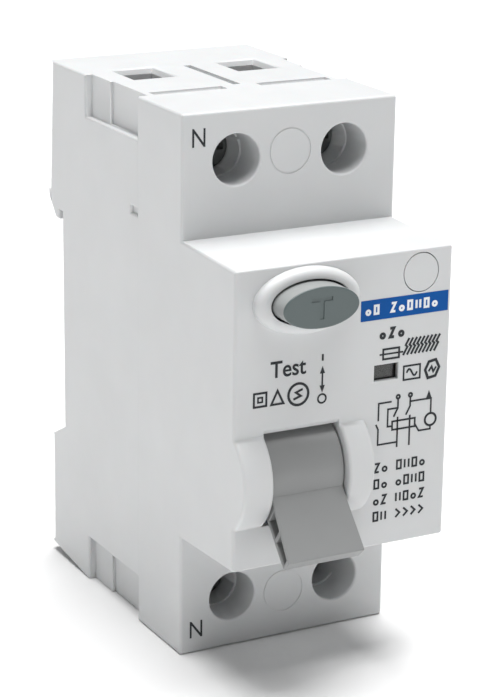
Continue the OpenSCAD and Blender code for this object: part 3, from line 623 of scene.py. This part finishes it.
def new_tree(name, *sockets):
    """A geometry tree with named inputs: the tree, their identifiers and their sockets inside it."""
    tree = bpy.data.node_groups.new(name, "GeometryNodeTree")
    inputs = {}
    for label, kind in sockets:
        socket = tree.interface.new_socket(name=label, in_out="INPUT", socket_type="NodeSocket" + kind)
        inputs[label] = socket.identifier
    tree.interface.new_socket(name="Geometry", in_out="OUTPUT", socket_type="NodeSocketGeometry")
    return tree, inputs, tree.nodes.new("NodeGroupInput").outputs


def swept_wire(tree, curve, radius, sides, caps=True):
    """A smooth round wire along a curve."""
    section = add_node(tree, "GeometryNodeCurvePrimitiveCircle", Radius=radius, Resolution=sides)
    wire = add_node(
        tree, "GeometryNodeCurveToMesh", Curve=curve, Profile_Curve=section.outputs["Curve"], Fill_Caps=caps,
    )
    return add_node(tree, "GeometryNodeSetShadeSmooth", Geometry=wire.outputs["Mesh"]).outputs["Geometry"]


def end_tree(tree, geometry, paint):
    """Ends a tree: its instances are made real and painted."""
    real = add_node(tree, "GeometryNodeRealizeInstances", Geometry=geometry)
    painted = add_node(tree, "GeometryNodeSetMaterial", Geometry=real.outputs["Geometry"], Material=paint)
    add_node(tree, "NodeGroupOutput", Geometry=painted.outputs["Geometry"])


def grown(tree, identifiers, **values):
    """What a geometry tree makes of its inputs, as a mesh. A space in a name is an underscore."""
    holder = held_object(tree.name, bpy.data.meshes.new(tree.name))
    modifier = holder.modifiers.new(tree.name, "NODES")
    modifier.node_group = tree
    for label, value in values.items():
        modifier[identifiers[label.replace("_", " ")]] = value
    return plain_mesh(holder)


def coil_tree():
    """Wire wound into a coil round Z, or a thread's ridge."""
    tree, inputs, given = new_tree(
        "wound_wire", ("Coil radius", "Float"), ("Wire radius", "Float"), ("Length", "Float"),
        ("Turns", "Float"), ("Sides", "Int"), ("Wire paint", "Material"),
    )
    coil = add_node(
        tree, "GeometryNodeCurveSpiral", Resolution=28, Start_Radius=given["Coil radius"],
        End_Radius=given["Coil radius"], Height=given["Length"], Rotations=given["Turns"],
    )
    upright = add_node(tree, "GeometryNodeSetCurveNormal", Curve=coil.outputs["Curve"])
    upright.mode = "Z_UP"
    wire = swept_wire(tree, upright.outputs["Curve"], given["Wire radius"], given["Sides"])
    end_tree(tree, wire, given["Wire paint"])
    return tree, inputs


coil_shape, coil_inputs = coil_tree()


def coil_mesh(coil_r, wire_r, length, turns, paint, place, sides=10):
    """A coil as a mesh, its foot at the origin, sent to its place by a matrix. Sizes in millimetres."""
    mesh = grown(
        coil_shape, coil_inputs, Coil_radius=coil_r * mm, Wire_radius=wire_r * mm, Length=length * mm,
        Turns=float(turns), Sides=sides, Wire_paint=paint,
    )
    mesh.transform(place)
    return mesh


def joined(*meshes):
    """Several meshes as one."""
    shape = bmesh.new()
    for mesh in meshes:
        shape.from_mesh(mesh)
    made = bpy.data.meshes.new("joined")
    shape.to_mesh(made)
    shape.free()
    return made


def turned_mesh(profile, steps=48):
    """A closed turned solid round Z from (radius, height) points, both ends on the axis."""
    shape = bmesh.new()
    turns = [2 * math.pi * i / steps for i in range(steps)]
    rings = []
    for r, h in profile:
        spots = [(r * mm * math.cos(turn), r * mm * math.sin(turn)) for turn in turns] if r else [(0, 0)]
        rings.append([shape.verts.new((x, y, h * mm)) for x, y in spots])
    for low, high in zip(rings, rings[1:]):
        for i in range(steps):
            j = (i + 1) % steps
            if len(low) == 1:
                shape.faces.new((low[0], high[j], high[i]))
            elif len(high) == 1:
                shape.faces.new((low[i], low[j], high[0]))
            else:
                shape.faces.new((low[i], low[j], high[j], high[i]))
    bmesh.ops.recalc_face_normals(shape, faces=shape.faces)
    made = bpy.data.meshes.new("turned")
    shape.to_mesh(made)
    shape.free()
    return made


def cut_mesh(mesh, cutter):
    """A mesh with another one's shape cut out of it."""
    holder, tool = held_object("cut", mesh), held_object("tool", cutter)
    cut = holder.modifiers.new("cut", "BOOLEAN")
    cut.operation = "DIFFERENCE"
    cut.solver = "EXACT"
    cut.object = tool
    made = plain_mesh(holder)
    bpy.data.objects.remove(tool)
    return made


def box_mesh(low, high):
    """A plain block between two corners in millimetres, to cut with."""
    made = bpy.data.meshes.new("block")
    shape = bmesh.new()
    bmesh.ops.create_cube(shape, size=1)
    low, high = Vector(low) * mm, Vector(high) * mm
    for corner in shape.verts:
        corner.co = Vector((low[i] + (corner.co[i] + 0.5) * (high[i] - low[i]) for i in range(3)))
    shape.to_mesh(made)
    shape.free()
    return made


# head at z = 0 to 2.6, shank below it
screw_body = turned_mesh([
    (0, 0), (screw_head_r - 0.25, 0), (screw_head_r, 0.25), (screw_head_r, screw_head_h - 0.5),
    (screw_head_r - 0.15, screw_head_h - 0.2), (screw_head_r - 0.5, screw_head_h), (0, screw_head_h),
])
slot_half_l, slot_half_w, slot_depth = 2.45, 0.5, 1.3
for half_x, half_y in ((slot_half_l, slot_half_w), (slot_half_w, slot_half_l)):
    slot = box_mesh((-half_x, -half_y, screw_head_h - slot_depth), (half_x, half_y, screw_head_h + 1))
    screw_body = cut_mesh(screw_body, slot)
screw_low, screw_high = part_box("upper_left_screw")
shank_length = screw_high.y / mm - screw_low.y / mm - screw_head_h
shank = turned_mesh([
    (0, 0.1), (screw_r - 0.35, 0.1), (screw_r - 0.35, -shank_length + 0.5), (screw_r - 0.9, -shank_length),
    (0, -shank_length),
], 32)
thread_length = shank_length - 1.2
ridge_r = 0.36
thread = coil_mesh(
    screw_r - ridge_r, ridge_r, thread_length, thread_length / thread_pitch, passivated_zinc,
    Matrix.Translation((0, 0, (-shank_length + 0.5) * mm)), sides=4,
)
screw_mesh = smooth_shaded(joined(screw_body, shank, thread), 35)

for row in ("upper", "lower"):
    for side in ("left", "right"):
        screw, cage = f"{row}_{side}_screw", f"{row}_{side}_cage"
        low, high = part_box(screw)
        here = screw_mesh.copy()
        here.transform(
            Matrix.Translation(((low.x + high.x) / 2, low.y + screw_head_h * mm, (low.z + high.z) / 2))
            @ Matrix.Rotation(math.pi / 2, 4, "X")
        )
        seat(f"{row}_{side}_terminal_screw", here, passivated_zinc, screw + "_body", "steel", screw)
        seat(f"{row}_{side}_wire_cage", rounded_mesh(cage, fine_edge(0.3)), passivated_zinc,
             cage + "_body", "steel", cage)

# ------------------------------------------------------------
# The rail clip: a dark glass-filled slide in the base with a pull eye, pushed up under the rail
# by a small steel spring.
# ------------------------------------------------------------
clip_grey = moulded_plastic("clip_grey_plastic", (0.10, 0.105, 0.11), 0.5, grain=0.2, cloud=0.05)
seat("rail_clip_slide", rounded_mesh("rail_clip", fine_edge(0.3)), clip_grey, "clip", "clip_grey",
     "rail_clip")


def standing_coil(node, turns, wire, paint, axis):
    """A coil that fills a packed spring's box along an axis, with its ends flat inside the box."""
    low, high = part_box(node)
    middle = (low + high) / 2 / mm
    size = (high - low) / mm
    along = "XYZ".index(axis)
    across = [size[i] for i in range(3) if i != along]
    turn = {"X": Matrix.Rotation(math.pi / 2, 4, "Y"), "Y": Matrix.Rotation(-math.pi / 2, 4, "X"),
            "Z": Matrix.Identity(4)}[axis]
    start = middle.copy()
    start[along] = low[along] / mm + wire / 2
    place = Matrix.Translation(start * mm) @ turn
    return coil_mesh(min(across) / 2 - wire / 2, wire / 2, size[along] - wire, turns, paint, place)


clip_coil = seat(
    "rail_clip_coil", standing_coil("rail_clip_spring", 9, 0.5, bright_steel, "Z"), bright_steel,
    "housing", "steel", "rail_clip_spring",
)
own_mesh(clip_coil)

# ------------------------------------------------------------
# The toggle: a grey lever with a round barrel and a flat paddle, on a steel axle between the
# two cheeks. A leg spring resets it, and a pin in its side drives the link.
# ------------------------------------------------------------
lever_grey = moulded_plastic("lever_grey_plastic", (0.27, 0.275, 0.275), 0.38, cloud=0.03)
seat("toggle_handle", rounded_mesh("toggle_lever", fine_edge(0.22)), lever_grey, "toggle", "lever_grey",
     "toggle_lever")
for node, name, body in (
    ("toggle_axle", "toggle_steel_axle", "housing"), ("crank_pin", "lever_crank_pin", "toggle"),
    ("drive_link", "pressed_drive_link", "link"),
):
    seat(name, rounded_mesh(node, fine_edge(0.1)), zinc_plate, body, "steel", node)

# ------------------------------------------------------------
# The test button: a grey oval key with a raised rim and a sunk T, returned by a coil spring
# that sits in its back.
# ------------------------------------------------------------
button_face_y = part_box("test_button")[0].y / mm
key_half_w, key_half_h = 6.1, 3.05
# the key's face keeps the plastic's own dark grey; everything behind it is painted lighter, a painted
# highlight for the light its sides catch
button_grey = two_tone(
    moulded_plastic("button_grey_plastic", (0.10, 0.128, 0.128), 0.34, cloud=0.03), (0.3, 0.312, 0.31),
    "Y", button_face_y + 0.22, 0.08,
)


def button_rounding(middle, along, convex):
    """A soft rim round the key's face, sharp edges round the sunk T, and a fine break elsewhere."""
    if not convex:
        return 0.0
    if middle.y < button_face_y + 0.1:
        on_rim = on_ellipse(middle.x - bezel_x, middle.z - bezel_z, key_half_w, key_half_h)
        return 0.22 if on_rim else 0.0
    return 0.1


seat("test_key", rounded_mesh("test_button", button_rounding), button_grey, "button", "button_grey",
     "test_button")
button_coil = seat(
    "test_button_coil", standing_coil("test_button_spring", 8, 0.45, bright_steel, "Y"), bright_steel,
    "housing", "steel", "test_button_spring",
)
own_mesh(button_coil)

# ------------------------------------------------------------
# The mechanism: a dark moulded carrier with its contact shaft, and copper arms with silver-alloy
# tips, pressed on their fixed contacts by small coils.
# ------------------------------------------------------------
dark_plastic = moulded_plastic(
    "dark_mechanism_plastic", (0.028, 0.029, 0.032), 0.46, grain=0.22, cloud=0.08,
)
bare_copper = drawn_metal("bare_copper", (0.72, 0.33, 0.20), 0.30, stretch=(1, 1, 0.15), wear=0.2)
silver_alloy = drawn_metal("silver_alloy_contact", (0.78, 0.77, 0.74), 0.36, line=0.05, wear=0.1)
spring_brass = drawn_metal("spring_brass", (0.74, 0.56, 0.25), 0.28, stretch=(1, 0.2, 1), wear=0.15)
fibre_board = moulded_plastic(
    "pressed_fibre_board", (0.30, 0.105, 0.045), 0.72, grain=0.3, grain_depth=0.03, cloud=0.2,
)

for node, name, size, paint, body, finish in (
    ("mechanism_frame", "mechanism_carrier", 0.25, dark_plastic, "housing", "dark_plastic"),
    ("pole_barrier", "pole_barrier_board", 0.06, fibre_board, "housing", "fibre_board"),
    ("contact_shaft", "contact_shaft_moulding", 0.12, dark_plastic, "contacts", "dark_plastic"),
    ("moving_contact_arms", "copper_contact_arms", 0.2, bare_copper, "contacts", "copper"),
    ("moving_contact_tips", "moving_silver_tips", 0.2, silver_alloy, "contacts", "silver_contact"),
    ("fixed_contact_tips", "fixed_silver_tips", 0.2, silver_alloy, "housing", "silver_contact"),
    ("upper_terminal_bars", "upper_copper_bars", 0.25, bare_copper, "housing", "copper"),
    ("lower_terminal_bars", "lower_copper_bars", 0.25, bare_copper, "housing", "copper"),
    ("test_contact_blade", "test_brass_blade", 0.06, spring_brass, "housing", "brass"),
    ("test_contact_post", "test_brass_post", 0.1, spring_brass, "housing", "brass"),
):
    seat(name, rounded_mesh(node, fine_edge(size)), paint, body, finish, node)

# contact springs lean with the open arms
contact_lean = math.radians(20)
arm_thickness, spring_seat, spring_height, spring_r, spring_wire = 1.2, 4.6, 2.9, 1.3, 0.45
shaft_place = Vector((0, -27, 8)) * mm
coils = []
for side in (-1, 1):
    lean = Matrix.Translation(shaft_place) @ Matrix.Rotation(contact_lean, 4, "X")
    foot_y = -arm_thickness / 2 - spring_height + spring_wire / 2
    foot = Matrix.Translation(Vector((side * pole_x, foot_y, spring_seat)) * mm)
    coils.append(coil_mesh(
        spring_r - spring_wire / 2, spring_wire / 2, spring_height - spring_wire, 5, bright_steel,
        lean @ foot @ Matrix.Rotation(-math.pi / 2, 4, "X"),
    ))
seat("contact_pressure_coils", joined(*coils), bright_steel, "contacts", "steel", "contact_springs")
seat(
    "toggle_return_coil", standing_coil("toggle_spring", 3, 0.55, bright_steel, "X"), bright_steel,
    "housing", "steel", "toggle_spring",
)

# ------------------------------------------------------------
# The copper braids: flat straps woven from fine strands. Real ones are welded to each arm behind
# its pivot and to the conductor below; these end a little short of both.
# ------------------------------------------------------------
braid_half_w, strand_r, strands, weave = 1.15, 0.16, 8, 0.12
braid_route = [(2.75, -4.9), (4.6, -7.9), (6.4, -8.6), (9.75, -8.65)]


def braid_tree():
    """Strands that lie side by side on a route and weave over and under each other."""
    tree, inputs, given = new_tree(
        "copper_braid", ("Route", "Object"), ("Half width", "Float"), ("Strand radius", "Float"),
        ("Strands", "Int"), ("Weave", "Float"), ("Strand paint", "Material"),
    )

    def maths(operation, *values):
        node = tree.nodes.new("ShaderNodeMath")
        node.operation = operation
        for socket, value in zip(node.inputs, values):
            if isinstance(value, (int, float)):
                socket.default_value = value
            else:
                tree.links.new(value, socket)
        return node.outputs["Value"]

    route = add_node(tree, "GeometryNodeObjectInfo", Object=given["Route"])
    fine = add_node(tree, "GeometryNodeResampleCurve", Curve=route.outputs["Geometry"], Count=44)
    again = tree.nodes.new("GeometryNodeDuplicateElements")
    again.domain = "SPLINE"
    tree.links.new(fine.outputs["Curve"], again.inputs["Geometry"])
    tree.links.new(given["Strands"], again.inputs["Amount"])
    keep = tree.nodes.new("GeometryNodeCaptureAttribute")
    keep.domain = "CURVE"
    keep.capture_items.new("INT", "strand")
    tree.links.new(again.outputs["Geometry"], keep.inputs["Geometry"])
    tree.links.new(again.outputs["Duplicate Index"], keep.inputs["strand"])
    along = tree.nodes.new("GeometryNodeSplineParameter").outputs["Factor"]
    strand = keep.outputs["strand"]
    share = maths("DIVIDE", maths("ADD", strand, 0.5), given["Strands"])
    phase = maths("MULTIPLY_ADD", along, 26.0, maths("MULTIPLY", strand, math.pi))
    across = maths("MULTIPLY", maths("MULTIPLY_ADD", share, 2.0, -1.0), given["Half width"])
    swing = maths("MULTIPLY", given["Strand radius"], 0.9)
    sway = maths("MULTIPLY_ADD", maths("COSINE", phase), swing, across)
    lift = maths("MULTIPLY", maths("SINE", phase), given["Weave"])
    offset = add_node(tree, "ShaderNodeCombineXYZ", X=sway, Y=lift, Z=lift)
    moved = add_node(
        tree, "GeometryNodeSetPosition", Geometry=keep.outputs["Geometry"], Offset=offset.outputs["Vector"],
    )
    wire = swept_wire(tree, moved.outputs["Geometry"], given["Strand radius"], 8)
    end_tree(tree, wire, given["Strand paint"])
    return tree, inputs


def route_curve(name, points):
    """An open curve through points given in millimetres, with soft bends."""
    line = bpy.data.curves.new(name, "CURVE")
    line.dimensions = "3D"
    spline = line.splines.new("BEZIER")
    spline.bezier_points.add(len(points) - 1)
    for bead, point in zip(spline.bezier_points, points):
        bead.co = Vector(point) * mm
        bead.handle_left_type = bead.handle_right_type = "AUTO"
    return held_object(name, line)


braid_shape, braid_inputs = braid_tree()
braids = []
for side in (-1, 1):
    route = route_curve("braid_route", [
        (side * pole_x, shaft_place.y / mm + y, shaft_place.z / mm + z) for y, z in braid_route
    ])
    braids.append(grown(
        braid_shape, braid_inputs, Route=route, Half_width=braid_half_w * mm, Strand_radius=strand_r * mm,
        Strands=strands, Weave=weave * mm, Strand_paint=bare_copper,
    ))
    bpy.data.objects.remove(route)
seat("woven_copper_braids", joined(*braids), bare_copper, "housing", "copper", "flexible_braids")

# ------------------------------------------------------------
# The summation transformer: a wound iron tape core in a black case, both mains conductors
# through its middle, and the fine secondary winding over part of its ring.
# ------------------------------------------------------------
core_low, core_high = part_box("transformer_core")
core_middle = (core_low + core_high) / 2
core_iron = drawn_metal(
    "wound_core_iron", (0.34, 0.35, 0.37), 0.42, line=0.12, stretch=(1, 1, 0.05), wear=0.2,
)
case_black = moulded_plastic("transformer_case_plastic", (0.016, 0.016, 0.018), 0.40, grain=0.2, cloud=0.08)
seat("tape_wound_core", rounded_mesh("transformer_core", fine_edge(0.2)), core_iron, "housing", "core_iron",
     "transformer_core")
seat("core_case", rounded_mesh("transformer_case", fine_edge(0.3)), case_black, "housing", "dark_plastic",
     "transformer_case")


def ring_winding_tree():
    """Rectangular turns of wire stood side by side round part of a ring."""
    tree, inputs, given = new_tree(
        "ring_winding", ("Ring radius", "Float"), ("Turn width", "Float"), ("Turn height", "Float"),
        ("Wire radius", "Float"), ("Turns", "Int"), ("Start", "Float"), ("Sweep", "Float"),
        ("Wire paint", "Material"),
    )
    turn = add_node(
        tree, "GeometryNodeCurvePrimitiveQuadrilateral",
        Width=given["Turn width"], Height=given["Turn height"],
    )
    soft = tree.nodes.new("GeometryNodeFilletCurve")
    soft.mode = "POLY"
    soft.inputs["Count"].default_value = 4
    soft.inputs["Radius"].default_value = 0.7 * mm
    tree.links.new(turn.outputs["Curve"], soft.inputs["Curve"])
    wire = swept_wire(tree, soft.outputs["Curve"], given["Wire radius"], 8, caps=False)
    stood = add_node(tree, "GeometryNodeTransform", Geometry=wire, Rotation=(math.pi / 2, 0, 0))
    out = add_node(tree, "ShaderNodeCombineXYZ", X=given["Ring radius"])
    shifted = add_node(
        tree, "GeometryNodeTransform", Geometry=stood.outputs["Geometry"], Translation=out.outputs["Vector"],
    )
    posts = add_node(tree, "GeometryNodePoints", Count=given["Turns"])
    share = tree.nodes.new("ShaderNodeMath")
    share.operation = "DIVIDE"
    tree.links.new(tree.nodes.new("GeometryNodeInputIndex").outputs["Index"], share.inputs[0])
    tree.links.new(given["Turns"], share.inputs[1])
    angle = tree.nodes.new("ShaderNodeMath")
    angle.operation = "MULTIPLY_ADD"
    for source, socket in zip((share.outputs["Value"], given["Sweep"], given["Start"]), angle.inputs):
        tree.links.new(source, socket)
    turned = add_node(tree, "ShaderNodeCombineXYZ", Z=angle.outputs["Value"])
    rows = add_node(
        tree, "GeometryNodeInstanceOnPoints", Points=posts.outputs["Points"],
        Instance=shifted.outputs["Geometry"], Rotation=turned.outputs["Vector"],
    )
    end_tree(tree, rows.outputs["Instances"], given["Wire paint"])
    return tree, inputs


enamelled_copper = drawn_metal("enamelled_copper", (0.62, 0.22, 0.08), 0.24, wear=0.25)
turn_wire_r = 0.21
core_hole_r, core_r = 5.75, (core_high.x - core_low.x) / 2 / mm
core_height = (core_high.z - core_low.z) / mm
winding_shape, winding_inputs = ring_winding_tree()
wire_room = 2.5
winding_mesh = grown(
    winding_shape, winding_inputs, Ring_radius=(core_r + core_hole_r) / 2 * mm,
    Turn_width=(core_r - core_hole_r + wire_room) * mm, Turn_height=(core_height + wire_room) * mm,
    Wire_radius=turn_wire_r * mm, Turns=40, Start=math.radians(199), Sweep=math.radians(135),
    Wire_paint=enamelled_copper,
)
winding_mesh.transform(Matrix.Translation(core_middle))
seat("secondary_wire_turns", winding_mesh, enamelled_copper, "housing", "copper", "secondary_winding")

# ------------------------------------------------------------
# The wires: blue mains conductors through the transformer, and two thin red leads from its
# winding to the relay, in smooth plastic insulation. The resistor's lead is bare tinned wire.
# ------------------------------------------------------------
wire_blue = moulded_plastic("blue_wire_insulation", (0.012, 0.06, 0.30), 0.34, grain=0.5, cloud=0.08)
wire_red = moulded_plastic("red_wire_insulation", (0.36, 0.025, 0.018), 0.34, grain=0.5, cloud=0.08)
tinned_wire = drawn_metal("tinned_wire", (0.66, 0.66, 0.65), 0.30)
for node, paint in (
    ("primary_conductors", wire_blue), ("secondary_leads", wire_red), ("test_lead", tinned_wire),
):
    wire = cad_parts[node].data
    wire.materials.clear()
    wire.materials.append(paint)

# ------------------------------------------------------------
# The relay and the latch: a black case round a small coil, a steel plunger, and a pressed latch
# on its own axle with a light torsion coil.
# ------------------------------------------------------------
relay_black = moulded_plastic("relay_case_plastic", (0.02, 0.021, 0.024), 0.36, grain=0.2, cloud=0.08)
seat("relay_box", rounded_mesh("relay_case", fine_edge(0.3)), relay_black, "housing", "dark_plastic",
     "relay_case")
for node, name, body in (
    ("relay_plunger", "relay_steel_plunger", "plunger"), ("trip_latch", "pressed_trip_latch", "latch"),
    ("latch_axle", "latch_steel_axle", "housing"),
):
    seat(name, rounded_mesh(node, fine_edge(0.1)), zinc_plate, body, "steel", node)
seat("latch_coil", standing_coil("latch_spring", 3, 0.4, bright_steel, "X"), bright_steel, "housing", "steel",
     "latch_spring")

coil_low, coil_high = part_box("relay_coil")
relay_axis = Vector(((coil_low.x + coil_high.x) / 2, (coil_low.y + coil_high.y) / 2, coil_low.z))
bobbin_r, bobbin_hole_r = (coil_high.x - coil_low.x) / 2 / mm, 1.6
bobbin_height = (coil_high.z - coil_low.z) / mm
flange, bobbin_wall = 0.6, 0.6
bobbin = turned_mesh([
    (0, 0), (bobbin_r, 0), (bobbin_r, flange), (bobbin_hole_r + bobbin_wall, flange),
    (bobbin_hole_r + bobbin_wall, bobbin_height - flange), (bobbin_r, bobbin_height - flange),
    (bobbin_r, bobbin_height), (0, bobbin_height),
])
bore = turned_mesh([
    (0, -1), (bobbin_hole_r, -1), (bobbin_hole_r, bobbin_height + 1), (0, bobbin_height + 1),
])
bobbin = cut_mesh(bobbin, bore)
bobbin.transform(Matrix.Translation(relay_axis))
relay_wire_r, layer_pitch = 0.17, 0.36
layer_height = bobbin_height - 2 * flange - 2 * relay_wire_r
layers = coil_mesh(
    bobbin_r - 0.35, relay_wire_r, layer_height, layer_height / layer_pitch, enamelled_copper,
    Matrix.Translation(relay_axis + Vector((0, 0, flange + relay_wire_r)) * mm), sides=8,
)
seat("relay_bobbin", smooth_shaded(bobbin, 35), dark_plastic, "housing", "dark_plastic")
seat("relay_wire_layers", layers, enamelled_copper, "housing", "copper", "relay_coil")

# ------------------------------------------------------------
# The test resistor: a ceramic body with swollen ends and four coloured bands.
# ------------------------------------------------------------
body_low, body_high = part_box("test_resistor")
resistor_r, resistor_length = (body_high.x - body_low.x) / 2 / mm, (body_high.z - body_low.z) / mm
waist = resistor_r - 0.25
resistor_shape = turned_mesh([
    (0, 0), (resistor_r - 0.6, 0), (resistor_r - 0.15, 0.25), (resistor_r, 0.8), (resistor_r, 1.4),
    (waist, 2.0), (waist, resistor_length - 2.0), (resistor_r, resistor_length - 1.4),
    (resistor_r, resistor_length - 0.8),
    (resistor_r - 0.15, resistor_length - 0.25), (resistor_r - 0.6, resistor_length), (0, resistor_length),
])
resistor_place = Vector(((body_low.x + body_high.x) / 2, (body_low.y + body_high.y) / 2, body_low.z))
resistor_shape.transform(Matrix.Translation(resistor_place))
bare, brown, black = (0.55, 0.42, 0.22), (0.10, 0.03, 0.01), (0.01, 0.01, 0.01)
red, gold = (0.4, 0.02, 0.02), (0.5, 0.3, 0.06)
resistor_paint = moulded_plastic("resistor_enamel", bare, 0.35, grain=0.3, cloud=0.05)
resistor_tree = resistor_paint.node_tree
body_place = add_node(resistor_tree, "ShaderNodeTexCoord").outputs["Object"]
body_height = add_node(resistor_tree, "ShaderNodeSeparateXYZ", Vector=body_place).outputs["Z"]
along_body = add_node(
    resistor_tree, "ShaderNodeMapRange", Value=body_height, From_Min=body_low.z, From_Max=body_high.z,
)
bands = add_node(resistor_tree, "ShaderNodeValToRGB", Fac=along_body.outputs["Result"])
bands.color_ramp.interpolation = "CONSTANT"
for at, colour in (
    (0.0, bare), (0.14, brown), (0.22, bare), (0.34, black), (0.42, bare), (0.52, red), (0.60, bare),
    (0.78, gold), (0.86, bare),
):
    mark = bands.color_ramp.elements.new(at) if at else bands.color_ramp.elements[0]
    mark.color = (*colour, 1)
bands.color_ramp.elements[-1].color = (*bare, 1)
resistor_tree.links.new(bands.outputs["Color"], resistor_tree.nodes["Principled BSDF"].inputs["Base Color"])
seat("banded_test_resistor", smooth_shaded(resistor_shape, 50), resistor_paint, "housing", "resistor_body",
     "test_resistor")
